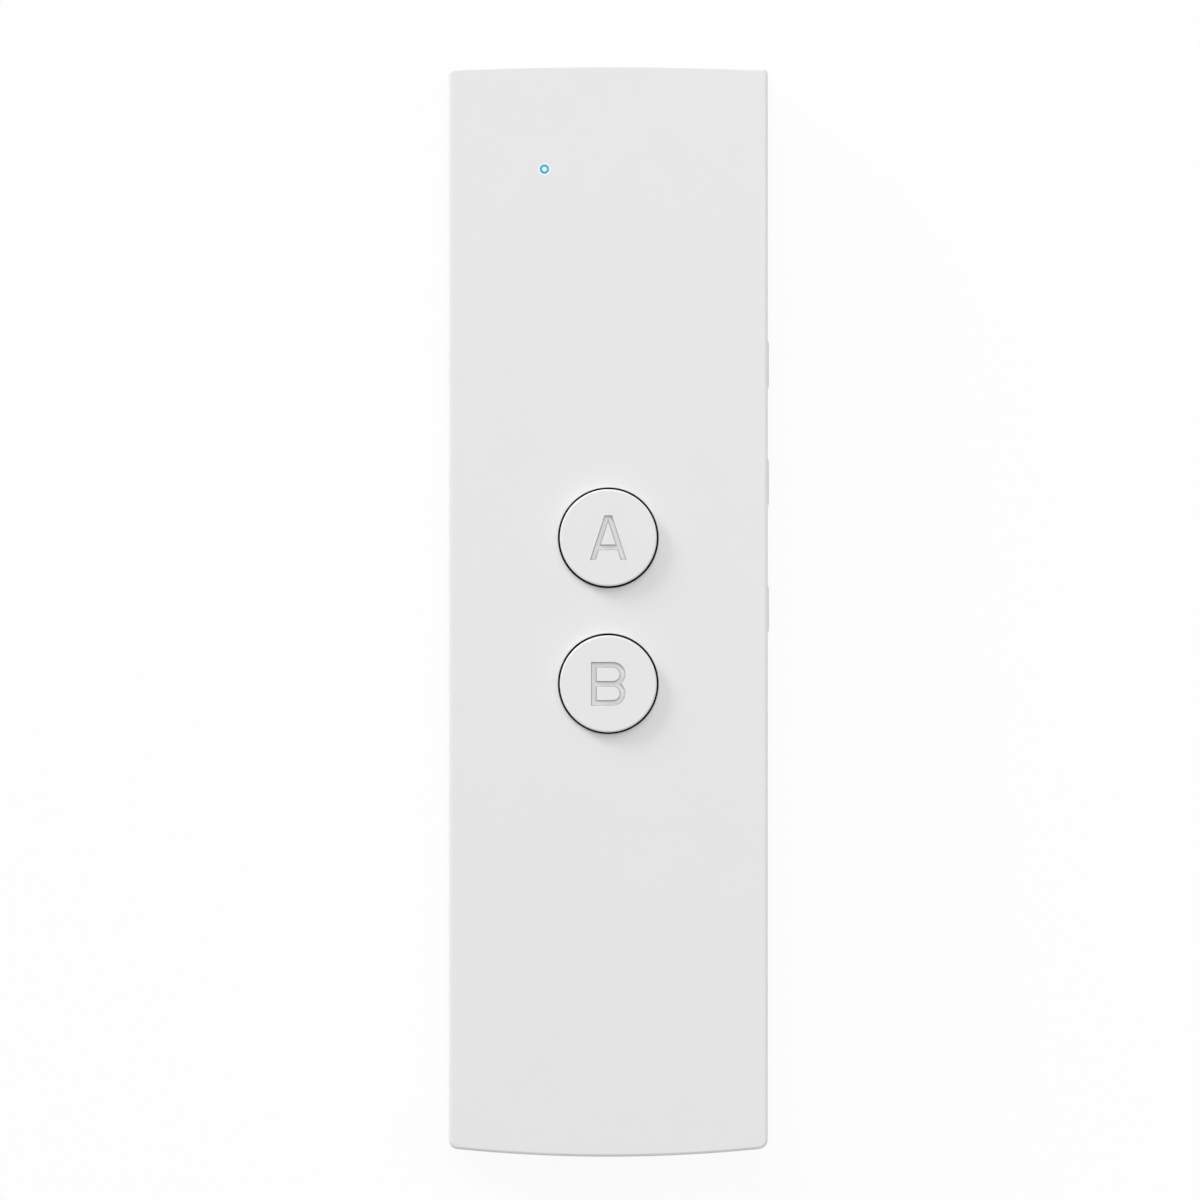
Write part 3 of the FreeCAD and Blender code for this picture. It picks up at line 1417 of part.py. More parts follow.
def make_chips():
    """Chips, crystal, coil and the small parts about them, in two columns below the buttons."""
    left = -dim.chip_side_place
    right = dim.chip_side_place
    column_top = -(dim.button_pitch / 2 + collar_radius + dim.collar_thick + dim.chip_spacing)
    processor_y = column_top - dim.processor_width / 2
    memory_y = processor_y - dim.processor_width / 2 - dim.chip_spacing - dim.memory_deep / 2
    charging_y = column_top - dim.charging_chip_width / 2
    coil_y = charging_y - dim.charging_chip_width / 2 - dim.chip_spacing - dim.power_coil_width / 2
    make_chip("processor", left, processor_y, dim.processor_width, dim.processor_width,
              dim.processor_tall)
    make_chip("memory_chip", left, memory_y, dim.memory_wide, dim.memory_deep, dim.memory_tall)
    make_chip("charging_chip", right, charging_y, dim.charging_chip_width,
              dim.charging_chip_width, dim.charging_chip_tall)
    amplifier_y = dim.screw_middle_place
    make_chip("amplifier_chip", dim.module_side_place, amplifier_y, dim.amplifier_width,
              dim.amplifier_width, dim.amplifier_tall)

    crystal = new_body("clock_crystal")
    can = flat_sketch(crystal, board_top)
    round_rectangle(can, as_size(0), as_size(0), dim.crystal_wide, dim.crystal_deep,
                    dim.passive_wide)
    pad_up(crystal, can, dim.crystal_tall)
    crystal_x = left + dim.processor_width / 2 + dim.chip_spacing + dim.crystal_wide / 2
    move(crystal, crystal_x, processor_y, 0)

    coil = new_body("power_coil")
    block = flat_sketch(coil, board_top)
    width = dim.power_coil_width
    round_rectangle(block, as_size(0), as_size(0), width, width, dim.power_coil_round)
    pad_up(coil, block, dim.power_coil_tall)
    move(coil, right, coil_y, 0)

    for label, row_x, row_y in (
        ("capacitors", left, memory_y - dim.memory_deep / 2 - dim.chip_spacing),
        ("resistors", right, coil_y - dim.power_coil_width / 2 - dim.chip_spacing),
    ):
        members = []
        for row in range(PASSIVE_ROWS):
            for column in range(PASSIVE_COLUMNS):
                x = row_x + dim.passive_pitch * (column - (PASSIVE_COLUMNS - 1) / 2)
                y = row_y - dim.passive_pitch * row
                members.append(solid_box(
                    f"{label}_{row}_{column}", x, y, board_top,
                    dim.passive_wide, dim.passive_long, dim.passive_tall,
                ))
        group(label, members)


def make_wireless_module():
    """Wireless module board, its shield can and the chip antenna at the board's end."""
    module = new_body("wireless_module")
    plate = flat_sketch(module, board_top)
    rectangle(plate, as_size(0), as_size(0), dim.module_wide, dim.module_deep)
    pad_up(module, plate, dim.module_thick)
    move(module, dim.module_side_place, half_length - dim.module_end_room, 0)

    shield = new_body("wireless_shield")
    level = board_top + dim.module_thick
    wide = dim.module_wide - dim.shield_margin * 2
    deep = dim.module_deep - dim.shield_margin * 2
    can = flat_sketch(shield, level)
    round_rectangle(can, as_size(0), as_size(0), wide, deep, dim.shield_skin * 2)
    pad_up(shield, can, dim.shield_tall)
    hollow = flat_sketch(shield, level)
    inner_wide = wide - dim.shield_skin * 2
    inner_deep = deep - dim.shield_skin * 2
    round_rectangle(hollow, as_size(0), as_size(0), inner_wide, inner_deep, dim.shield_skin)
    cut_up(shield, hollow, dim.shield_tall - dim.shield_skin)
    move(shield, dim.module_side_place, half_length - dim.module_end_room, 0)

    antenna = new_body("antenna")
    bar = flat_sketch(antenna, board_top)
    rectangle(bar, as_size(0), as_size(0), dim.antenna_long, dim.antenna_wide)
    pad_up(antenna, bar, dim.antenna_tall)
    move(antenna, 0, board_top_end - dim.antenna_room, 0)


make_front_housing()
make_rear_housing()
make_button("button_a", BUTTONS["button_a"], draw_mark_a)
make_button("button_b", BUTTONS["button_b"], draw_mark_b)
for name, side in BUTTONS.items():
    make_button_switch(name, side)
for name, place in KEYS.items():
    make_side_key(name, place)
    make_side_switch(name, place)
make_main_board()
make_board_screws()
make_status_lamp()
make_charging_socket()
make_microphone()
make_speaker()
make_battery()
make_battery_connector()
make_wires()
make_chips()
make_wireless_module()

doc.recompute()
for item in doc.Objects:
    if "Invalid" in item.State or "Error" in item.State:
        raise RuntimeError(f"{item.Label} failed: {item.State}")
for piece in subparts:
    if piece.Shape.isNull() or not piece.Shape.isValid():
        raise RuntimeError(f"{piece.Label} has no sound shape")

os.makedirs("parts", exist_ok=True)
for piece in subparts:
    piece.Shape.exportStep(f"parts/{piece.Label}.step")
print(len(subparts), "pieces written")
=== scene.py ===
# %% [markdown]
# # A handheld voice translator in white plastic
#
# The object is a slim white stick, 140 mm long, that fits in a hand. Its front carries two round
# push buttons and a tiny lit lamp, and one edge carries three long keys. Nearly all of it is one
# colour, so the picture lives on edges: how tight a corner is rounded, how deep a gap looks, and
# how softly the light rolls over a raised cap. This lesson builds those edges with care.

# %% Load the fixed frame
import json
import math

import bmesh
import bpy
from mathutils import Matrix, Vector


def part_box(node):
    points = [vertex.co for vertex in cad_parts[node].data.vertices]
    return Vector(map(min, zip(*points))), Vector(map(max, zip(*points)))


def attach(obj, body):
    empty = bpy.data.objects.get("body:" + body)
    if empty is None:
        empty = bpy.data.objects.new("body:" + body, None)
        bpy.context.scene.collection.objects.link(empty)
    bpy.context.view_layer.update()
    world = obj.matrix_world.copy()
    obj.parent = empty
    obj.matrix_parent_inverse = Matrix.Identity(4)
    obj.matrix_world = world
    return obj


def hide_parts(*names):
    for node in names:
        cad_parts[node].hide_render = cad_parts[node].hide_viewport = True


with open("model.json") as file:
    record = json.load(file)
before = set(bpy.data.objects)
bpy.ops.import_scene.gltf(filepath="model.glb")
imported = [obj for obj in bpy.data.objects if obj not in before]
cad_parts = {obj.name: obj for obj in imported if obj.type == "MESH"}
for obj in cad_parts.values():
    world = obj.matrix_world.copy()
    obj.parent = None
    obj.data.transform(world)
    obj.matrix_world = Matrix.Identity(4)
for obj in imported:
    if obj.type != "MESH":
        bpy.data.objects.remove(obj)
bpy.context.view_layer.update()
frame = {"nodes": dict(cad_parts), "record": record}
MM = 0.001
print("pieces in the frame:", len(frame["nodes"]))

# %% [markdown]
# ## Sizes that every step shares
#
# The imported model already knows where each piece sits, so the script asks it instead of guessing.
# A node's box gives the case's half width, the seam between its two shells, and the level of the
# front face. The rest, such as a wall's thickness or how round an edge is, is written as a number.

# %% Read the case's levels
front_low, front_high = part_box("front_housing")
board_low, board_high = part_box("main_board")
HALF_WIDTH = front_high.x
HALF_LENGTH = 70.0 * MM
SEAM = front_low.z
FRONT = front_high.z
BOARD_TOP = board_high.z
BOARD_BOTTOM = board_low.z
SIDE_WALL = 1.3 * MM
FRONT_WALL = 1.5 * MM
FRONT_INSIDE = FRONT - FRONT_WALL
FLOOR_TOP = 1.3 * MM
print("front face at", round(FRONT / MM, 2), "mm, seam at", round(SEAM / MM, 2), "mm")

# %% Read where the buttons, keys and lamp sit


def middle(node):
    """Give the middle of a node's box."""
    low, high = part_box(node)
    return (low + high) / 2


BUTTONS = {name: middle(f"{name}_switch_plunger") for name in ("button_a", "button_b")}
KEYS = {name: middle(name) for name in ("power_key", "volume_up_key", "volume_down_key")}
LAMP = middle("lamp_light_pipe")
SPEAKER = middle("speaker_mesh")
CAP_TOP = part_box("button_a")[1].z
CAP_RADIUS = 6.2 * MM
HOLE_RADIUS = 6.45 * MM
LAMP_RADIUS = 0.57 * MM
print("buttons at", [round(place.y / MM, 2) for place in BUTTONS.values()], "mm along the case")

# %% [markdown]
# ## Camera, floor and light
#
# The view looks straight down on the front face with a long lens, so the case's sides stay hidden
# and its outline is almost true to shape. A 200 mm lens close to one metre away does that. The
# camera sits a hair left of the object's middle and towards the lamp end, to frame it as wanted.

# %% Stand the camera over the front face
PIXELS_PER_MM = 7.803
FRAME_PIXELS = 1200
LENS = 200.0
SENSOR = 36.0
CAMERA_LEFT = 1.06 * MM
CAMERA_UP = 1.38 * MM
view_width = FRAME_PIXELS / PIXELS_PER_MM * MM
camera_height = FRONT + view_width * LENS / SENSOR
place = (-CAMERA_LEFT, CAMERA_UP, camera_height)
bpy.ops.object.camera_add(location=place, rotation=(0, 0, 0))
camera = bpy.context.object
camera.data.lens = LENS
camera.data.sensor_width = SENSOR
camera.data.clip_start = 0.01
camera.data.clip_end = 20
bpy.context.scene.camera = camera
print("camera stands", round(camera_height, 3), "m above the table")


# %% [markdown]
# ### Materials as sums
#
# A material in Blender is a net of nodes, which is slow to wire by hand. The small class Flow
# wraps one output socket, so that a sum written in Python adds the Math node that works it out.
# Finish is a material being made: one method adds any node, and the others are the few patterns
# that plastics, metals and boards are made of here.

# %% Wrap a socket, so that sums read as sums
class Flow:
    """An output socket of a material. A sum on it adds a Math node."""

    def __init__(self, finish, socket):
        self.finish = finish
        self.socket = socket

    def combine(self, operation, first, second=0.0):
        node = self.finish.node("ShaderNodeMath", {"operation": operation}, {0: first, 1: second})
        return Flow(self.finish, node.outputs[0])

    def __add__(self, other):
        return self.combine("ADD", self, other)

    def __sub__(self, other):
        return self.combine("SUBTRACT", self, other)

    def __rsub__(self, other):
        return self.combine("SUBTRACT", other, self)

    def __mul__(self, other):
        return self.combine("MULTIPLY", self, other)

    def __gt__(self, other):
        return self.combine("GREATER_THAN", self, other)

    def __lt__(self, other):
        return self.combine("LESS_THAN", self, other)

    __radd__ = __add__
    __rmul__ = __mul__


# %% Make a material piece by piece
class Finish:
    """A material being made. Its node method adds any node, settings first and then sockets."""

    def __init__(self, name):
        self.material = bpy.data.materials.new(name)
        self.material.use_nodes = True
        self.tree = self.material.node_tree
        self.shader = self.tree.nodes["Principled BSDF"]
        self.place = self.node("ShaderNodeTexCoord").outputs["Object"]

    def node(self, kind, settings=None, inputs=None):
        node = self.tree.nodes.new(kind)
        for name, value in (settings or {}).items():
            if name == "stops":
                self.set_stops(node, value)
            else:
                setattr(node, name, value)
        self.feed(node, inputs or {})
        return node

    def set_stops(self, node, stops):
        elements = node.color_ramp.elements
        while len(elements) < len(stops):
            elements.new(1.0)
        for element, (position, colour) in zip(elements, stops):
            element.position = position
            element.color = (*colour, 1)

    def feed(self, node, inputs):
        for key, value in inputs.items():
            if isinstance(value, Flow):
                value = value.socket
            if isinstance(value, bpy.types.NodeSocket):
                self.tree.links.new(value, node.inputs[key])
            else:
                node.inputs[key].default_value = value

    def surface(self, inputs):
        """Set the shader's own sockets."""
        self.feed(self.shader, inputs)

    def noise(self, grain, detail=2.0, stretch=(1, 1, 1)):
        """Give noise whose grains are about so many metres across, less along a stretched axis."""
        moved = self.node("ShaderNodeMapping", None, {"Vector": self.place, "Scale": stretch})
        inputs = {"Vector": moved.outputs[0], "Scale": 1 / grain, "Detail": detail}
        return Flow(self, self.node("ShaderNodeTexNoise", None, inputs).outputs["Fac"])

    def axis(self, letter):
        """Give one coordinate of the surface, in metres."""
        node = self.node("ShaderNodeSeparateXYZ", None, {0: self.place})
        return Flow(self, node.outputs[letter])

    def ripple(self, flow, period):
        """Give a wave between -1 and 1 that repeats each period."""
        scaled = flow * (2 * math.pi / period)
        return scaled.combine("SINE", scaled)

    def away(self, x, y):
        """Give the distance from an upright line, in metres."""
        across = self.axis("X") - x
        along = self.axis("Y") - y
        square = across * across + along * along
        return square.combine("SQRT", square)

    def blend(self, factor, first, second):
        """Mix two colours by a factor."""
        node = self.node("ShaderNodeMix", {"data_type": "RGBA"}, {0: factor, 6: first, 7: second})
        return Flow(self, node.outputs[2])

    def bump(self, height, distance):
        """Raise the surface by a height map."""
        node = self.node("ShaderNodeBump", None, {"Height": height, "Distance": distance})
        self.surface({"Normal": node.outputs[0]})


print("material helpers ready")

# %% [markdown]
# ### The table and its light
#
# The ground is to be pure white. A floor lit to pure white would need so much light that the case
# would burn out too. Instead the floor shows the camera a blend of a plain white glow and its lit
# surface, so it stays white, yet keeps the object's soft shadow.

# %% Lay the white floor
FLOOR_GLOW = 0.92
FLOOR_SIZE = 6.0
table = Finish("table_white")
cloud = table.noise(60 * MM)
table.surface({
    "Base Color": table.blend(cloud, (0.90, 0.90, 0.90, 1), (0.93, 0.93, 0.93, 1)),
    "Roughness": 0.8,
    "Specular IOR Level": 0.1,
})
rays = table.node("ShaderNodeLightPath")
seen = Flow(table, rays.outputs["Is Camera Ray"]) + Flow(table, rays.outputs["Is Glossy Ray"])
seen = seen + Flow(table, rays.outputs["Is Transmission Ray"])
glow = table.node("ShaderNodeEmission", None, {"Color": (1, 1, 1, 1), "Strength": 1.0})
mixed = table.node("ShaderNodeMixShader", None, {
    0: seen * FLOOR_GLOW, 1: table.shader.outputs[0], 2: glow.outputs[0],
})
table.feed(table.tree.nodes["Material Output"], {"Surface": mixed.outputs[0]})
bpy.ops.object.select_all(action="DESELECT")
bpy.ops.mesh.primitive_plane_add(size=FLOOR_SIZE, location=(0, 0, 0))
floor = bpy.context.object
floor.name = "table"
floor.data.materials.append(table.material)
print("floor laid")

# %% [markdown]
# One light hangs low at the upper left, and the raised caps throw its long faint shade towards the
# lower right. A wider one beyond the lamp end stands higher: it draws the short dark rim below
# each cap and darkens the upper walls of the sunk marks. A weak fill on the right keeps the face
# even. The sky lights the object as a plain grey, and is white only where the camera sees it.

# %% Hang the studio lights
scene = bpy.context.scene
scene.view_settings.view_transform = "Standard"
WORLD_LIGHT = 0.41
world = bpy.data.worlds.new("studio")
world.use_nodes = True
scene.world = world
sky = world.node_tree
path = sky.nodes.new("ShaderNodeLightPath")
level = sky.nodes.new("ShaderNodeMapRange")
level.inputs["To Min"].default_value = WORLD_LIGHT
level.inputs["To Max"].default_value = 1.0
sky.links.new(path.outputs["Is Camera Ray"], level.inputs["Value"])
sky.links.new(level.outputs["Result"], sky.nodes["Background"].inputs["Strength"])
sky.nodes["Background"].inputs["Color"].default_value = (1, 1, 1, 1)


def soft_light(name, place, size, watts):
    """Hang a square soft light and turn it towards the object."""
    bpy.ops.object.light_add(type="AREA", location=place)
    lamp = bpy.context.object
    lamp.name = name
    lamp.data.size = size
    lamp.data.energy = watts
    lamp.rotation_euler = (-Vector(place)).to_track_quat("-Z", "Y").to_euler()


soft_light("low_light", (-2.20, 2.20, 1.05), 1.00, 55.0)
soft_light("top_light", (-0.35, 2.28, 2.78), 2.20, 43.0)
soft_light("fill_light", (0.85, 0.25, 1.60), 1.10, 7.5)

# %% [markdown]
# ## Finishes
#
# Each finish starts from what the real surface is made by. The case is moulded in a tool whose
# walls are spark-eroded, which leaves a grain far finer than a hair and a dull gloss. The keys
# come from a smoother tool. Inside are board lacquer, foil, plated metal, rubber and ceramic.
# Each has its colour drift, its grain and its gloss, all reckoned from the place on the object.

# %% Moulded plastics and rubbers
FINISHES = {}
DRIFT_GRAIN = 9 * MM
GLOSS_GRAIN = 1.2 * MM


def moulded(name, shade, gloss, grain=0.3 * MM, depth=0.002 * MM, drift=0.04):
    """Make a moulded surface: a colour that drifts a little, a fine grain and uneven gloss."""
    finish = Finish(name)
    darker = tuple(channel * (1 - drift) for channel in shade)
    finish.surface({
        "Base Color": finish.blend(finish.noise(DRIFT_GRAIN), (*darker, 1), (*shade, 1)),
        "Roughness": finish.noise(GLOSS_GRAIN) * 0.1 + (gloss - 0.05),
    })
    finish.bump(finish.noise(grain), depth)
    FINISHES[name] = finish.material
    return finish


case = moulded("case_white", (0.812, 0.812, 0.812), 0.46, drift=0.015)
moulded("key_white", (0.816, 0.816, 0.817), 0.40, depth=0.0015 * MM, drift=0.015)
caps = moulded("button_white", (0.816, 0.816, 0.817), 0.40, depth=0.0015 * MM, drift=0.015)
moulded("black_plastic", (0.030, 0.030, 0.034), 0.42, drift=0.2)
moulded("ivory_plastic", (0.78, 0.74, 0.62), 0.45, drift=0.06)
moulded("black_rubber", (0.028, 0.028, 0.028), 0.72, grain=0.15 * MM, depth=0.006 * MM)
moulded("foam", (0.060, 0.060, 0.062), 0.95, grain=0.35 * MM, depth=0.15 * MM, drift=0.3)
moulded("red_wire", (0.60, 0.035, 0.030), 0.38, grain=0.5 * MM, drift=0.1)
moulded("black_wire", (0.022, 0.022, 0.024), 0.36, grain=0.5 * MM, drift=0.2)
moulded("ceramic_white", (0.80, 0.79, 0.74), 0.55, grain=0.12 * MM, drift=0.05)
moulded("ceramic_tan", (0.52, 0.38, 0.24), 0.50, grain=0.10 * MM, drift=0.12)
print("plastics:", sorted(FINISHES))

# %% [markdown]
# The gap round each cap is to look like a drawn black line, and white plastic at its bottom only
# renders grey. So shade is painted into the gap: each cap turns black, with a duller gloss, below a
# level that takes in the flange. The marks' steep walls get painted shade in the same way, a plain
# grey with a duller gloss, because white walls come out too pale. Both are painted shade chosen for
# the look: what the real ones are made of can't be told from a picture.

# %% Paint shade into the gap below the caps and onto the marks' walls
GAP_SHADE_TOP = FRONT_INSIDE + 0.25 * MM
MARK_DEPTH = 0.4 * MM
MARK_REACH = 4.5 * MM
WALL_MARGIN = 0.02 * MM
height = caps.axis("Z")
# Painted shade: below this level the cap is painted black, so the gap round it looks dark.
gap_shade = height < GAP_SHADE_TOP
near_a = caps.away(0, BUTTONS["button_a"].y) < MARK_REACH
near_b = caps.away(0, BUTTONS["button_b"].y) < MARK_REACH
in_wall = (height < CAP_TOP - WALL_MARGIN) * (height > CAP_TOP - MARK_DEPTH + WALL_MARGIN)
# Painted shade: the marks' steep walls are painted grey, standing in for the shade inside the
# strokes.
wall_shade = (near_a + near_b) * in_wall
cloud = caps.noise(DRIFT_GRAIN)
white = caps.blend(cloud, (0.804, 0.804, 0.805, 1), (0.816, 0.816, 0.817, 1))
plastic = caps.blend(wall_shade, white, (0.50, 0.50, 0.50, 1))
caps.surface({
    "Base Color": caps.blend(gap_shade, plastic, (0.012, 0.012, 0.012, 1)),
    "Roughness": gap_shade * 0.4 + wall_shade * 0.3 + caps.noise(GLOSS_GRAIN) * 0.1 + 0.35,
})
print("seal reaches", round(GAP_SHADE_TOP / MM, 2), "mm up")

# %% Rolled and plated metals


def rolled(name, shade, gloss, stretch, depth=0.003 * MM):
    """Make a metal with rolling lines that run along the axis with the smallest stretch."""
    finish = Finish(name)
    lines = finish.noise(0.10 * MM, 3.0, stretch)
    duller = tuple(channel * 0.90 for channel in shade)
    finish.surface({
        "Base Color": finish.blend(finish.noise(4 * MM), (*duller, 1), (*shade, 1)),
        "Metallic": 1.0,
        "Roughness": lines * 0.16 + (gloss - 0.08),
    })
    finish.bump(lines, depth)
    FINISHES[name] = finish.material


rolled("steel", (0.62, 0.62, 0.60), 0.34, (1, 0.06, 1))
rolled("brass", (0.80, 0.62, 0.28), 0.26, (0.1, 1, 1), 0.001 * MM)
WIRE_PITCH = 0.16 * MM
copper = Finish("copper")
turns = copper.ripple(copper.axis("Z"), WIRE_PITCH)
copper.surface({
    "Base Color": copper.blend(turns * 0.5 + 0.5, (0.42, 0.19, 0.10, 1), (0.74, 0.40, 0.23, 1)),
    "Metallic": 1.0,
    "Roughness": copper.noise(0.4 * MM) * 0.15 + 0.25,
})
copper.bump(turns, 0.02 * MM)
FINISHES["copper"] = copper.material
print("metals added:", len(FINISHES))

# %% Board lacquer over copper tracks
TRACK_PITCH = 1.1 * MM
board = Finish("green_board")
patch = board.noise(7 * MM, 0.0) > 0.5
tracks_along = board.ripple(board.axis("X"), TRACK_PITCH) > 0.35
tracks_across = board.ripple(board.axis("Y"), TRACK_PITCH) > 0.35
tracks = patch * tracks_along + (1 - patch) * tracks_across
board.surface({
    "Base Color": board.blend(tracks, (0.012, 0.105, 0.055, 1), (0.030, 0.200, 0.100, 1)),
    "Roughness": board.noise(0.6 * MM) * 0.12 + 0.22,
    "Coat Weight": 0.3,
})
board.bump(tracks, 0.03 * MM)
FINISHES["green_board"] = board.material

# %% Foil, film and woven mesh
foil = Finish("battery_foil")
creases = foil.noise(2.6 * MM, 4.0)
foil.surface({
    "Base Color": foil.blend(creases, (0.56, 0.57, 0.58, 1), (0.70, 0.71, 0.72, 1)),
    "Metallic": 0.8,
    "Roughness": creases * 0.2 + 0.28,
})
foil.bump(creases, 0.10 * MM)
FINISHES["battery_foil"] = foil.material

film = Finish("cone_film")
RING_PITCH = 0.9 * MM
rings = film.ripple(film.away(SPEAKER.x, SPEAKER.y), RING_PITCH)
film.surface({
    "Base Color": film.blend(rings * 0.5 + 0.5, (0.07, 0.07, 0.08, 1), (0.11, 0.11, 0.12, 1)),
    "Roughness": film.noise(1.5 * MM) * 0.1 + 0.25,
})
film.bump(rings, 0.02 * MM)
FINISHES["cone_film"] = film.material

THREAD_PITCH = 0.22 * MM
cloth = Finish("dark_cloth")
warp = cloth.ripple(cloth.axis("X"), THREAD_PITCH)
weft = cloth.ripple(cloth.axis("Y"), THREAD_PITCH)
weave = warp * weft
cloth.surface({
    "Base Color": cloth.blend(weave * 0.5 + 0.5, (0.012, 0.012, 0.013, 1), (0.07, 0.07, 0.075, 1)),
    "Roughness": cloth.noise(0.5 * MM) * 0.15 + 0.6,
})
cloth.bump(weave, 0.04 * MM)
FINISHES["dark_cloth"] = cloth.material
print("board, foil, film and cloth added:", len(FINISHES))

# %% [markdown]
# ### The lit lamp
#
# A tiny blue light source sits on the board, and a clear pin carries its light up through the
# face. Seen from above, the pin's middle is almost white because the camera looks straight at the
# source, while its rim shows the plain blue of the scattered light. A ramp over the distance from
# the pin's axis paints both at once. The pale ring just round the pin is painted as a faint glow of
# the white plastic there.

# %% Light the pin's top and the source below it
PIN_GLOW_DEPTH = 0.2 * MM
pin = Finish("clear_plastic")
reach = pin.away(LAMP.x, LAMP.y) * (1 / LAMP_RADIUS) + (pin.noise(0.3 * MM) - 0.5) * 0.08
top_only = pin.axis("Z") > FRONT - PIN_GLOW_DEPTH
stops = [
    (0.0, (0.93, 1.0, 1.0)), (0.26, (0.86, 0.98, 1.0)), (0.52, (0.30, 0.74, 0.92)),
    (0.76, (0.018, 0.25, 0.46)), (1.0, (0.02, 0.26, 0.46)),
]
light = pin.node("ShaderNodeValToRGB", {"stops": stops}, {0: reach})
pin.surface({
    "Base Color": pin.blend(top_only, (0.75, 0.86, 0.92, 1), (0.02, 0.05, 0.08, 1)),
    "Roughness": pin.noise(0.4 * MM) * 0.06 + 0.14,
    "Emission Color": pin.blend(top_only, (0.10, 0.22, 0.30, 1), light.outputs[0]),
    "Emission Strength": 1.0,
})
pin.bump(pin.noise(0.2 * MM), 0.001 * MM)
FINISHES["clear_plastic"] = pin.material

HALO_REACH = 0.78 * MM
HALO_DEPTH = 0.3 * MM
near_lamp = case.away(LAMP.x, LAMP.y) < HALO_REACH
halo = near_lamp * (case.axis("Z") > FRONT - HALO_DEPTH)
case.surface({
    "Emission Color": case.blend(halo, (0, 0, 0, 1), (0.14, 0.17, 0.18, 1)),
    "Emission Strength": 1.0,
})

source = Finish("lamp_blue")
speckle = source.noise(0.3 * MM)
source.surface({
    "Base Color": source.blend(speckle, (0.30, 0.65, 0.90, 1), (0.40, 0.80, 1.0, 1)),
    "Roughness": source.noise(0.2 * MM) * 0.1 + 0.2,
    "Emission Color": (0.10, 0.60, 1.0, 1),
    "Emission Strength": 1.0,
})
source.bump(source.noise(0.2 * MM), 0.002 * MM)
FINISHES["lamp_blue"] = source.material
print("finishes in all:", len(FINISHES))

# %% [markdown]
# ### Dress the pieces that stay as they are
#
# Most of the inside is already the right shape in the frame: chips, screws, magnet, board. Those
# pieces keep their shape, and only the material in their slot is exchanged for the finish above.

# %% Put a finish on every piece of the frame
SLOT_OF = {entry["node"]: entry["material_slot"] for entry in frame["record"]["subparts"]}
for name, piece in frame["nodes"].items():
    for holder in piece.material_slots:
        holder.material = FINISHES[SLOT_OF[name]]
print("dressed", len(SLOT_OF), "pieces in", len(set(SLOT_OF.values())), "finishes")

# %% [markdown]
# ## Small hand tools
#
# Modelling by hand is a loop of three moves: pick some faces or edges, run one operator, look.
# These helpers do the picking by place and direction, so that each later step reads like a note on
# the bench. A cutter is a throwaway solid whose shape is taken out of a piece with a Boolean.

# %% Pick, hold and settle


def take(piece):
    """Hold one piece, in object mode."""
    if bpy.context.object and bpy.context.object.mode != "OBJECT":
        bpy.ops.object.mode_set(mode="OBJECT")
    bpy.ops.object.select_all(action="DESELECT")
    piece.select_set(True)
    bpy.context.view_layer.objects.active = piece


def edit(piece):
    """Open a piece in edit mode."""
    take(piece)
    bpy.ops.object.mode_set(mode="EDIT")


def select(kind, test):
    """In edit mode, select the vertices, edges or faces that pass a test. Give how many."""
    bpy.ops.mesh.select_mode(type=kind)
    bpy.ops.mesh.select_all(action="DESELECT")
    mesh = bmesh.from_edit_mesh(bpy.context.object.data)
    items = {"VERT": mesh.verts, "EDGE": mesh.edges, "FACE": mesh.faces}[kind]
    picked = [item for item in items if test(item)]
    for item in picked:
        item.select_set(True)
    mesh.select_flush_mode()
    bmesh.update_edit_mesh(bpy.context.object.data)
    return len(picked)


def settle(piece):
    """Put a piece's place and size into its mesh."""
    take(piece)
    bpy.ops.object.transform_apply(location=True, rotation=True, scale=True)
    return piece


# %% Join, cut and soften


def apply_modifier(piece, kind, **settings):
    """Add a modifier, set it and apply it."""
    take(piece)
    modifier = piece.modifiers.new(kind.lower(), kind)
    for name, value in settings.items():
        setattr(modifier, name, value)
    bpy.ops.object.modifier_apply(modifier=modifier.name)


def bundle(pieces):
    """Make several separate solids one object."""
    take(pieces[0])
    for piece in pieces[1:]:
        piece.select_set(True)
    if len(pieces) > 1:
        bpy.ops.object.join()
    return pieces[0]


def clone(piece, name):
    """Copy a piece, with a mesh of its own."""
    copy = piece.copy()
    copy.data = piece.data.copy()
    copy.name = name
    bpy.context.collection.objects.link(copy)
    return copy


def carve(piece, *cutters):
    """Take the cutters' shapes out of a piece, and throw the cutters away."""
    cutter = bundle(cutters)
    apply_modifier(piece, "BOOLEAN", operation="DIFFERENCE", solver="EXACT", object=cutter)
    bpy.data.objects.remove(cutter)


def weld(piece, *others):
    """Make a piece and others one solid, and throw the others away."""
    other = bundle(others)
    apply_modifier(piece, "BOOLEAN", operation="UNION", solver="EXACT", object=other)
    bpy.data.objects.remove(other)


def soften(piece, radius, steps, test):
    """Round the edges that pass a test, or chamfer them when steps is 1."""
    edit(piece)
    count = select("EDGE", test)
    if count:
        bpy.ops.mesh.bevel(offset=radius, segments=steps, affect="EDGES", profile=0.5)
    bpy.ops.object.mode_set(mode="OBJECT")
    return count


# %% Make the plain solids that shapes start from


def rod(name, x, y, low, high, radius, sides=96):
    """Make an upright round bar."""
    bpy.ops.object.select_all(action="DESELECT")
    bpy.ops.mesh.primitive_cylinder_add(
        vertices=sides, radius=radius, depth=high - low, location=(x, y, (low + high) / 2)
    )
    bpy.context.object.name = name
    return settle(bpy.context.object)


def bar(name, low, high):
    """Make a block between two corners."""
    low, high = Vector(low), Vector(high)
    bpy.ops.object.select_all(action="DESELECT")
    bpy.ops.mesh.primitive_cube_add(size=1, location=(low + high) / 2)
    bpy.context.object.name = name
    bpy.context.object.scale = high - low
    return settle(bpy.context.object)


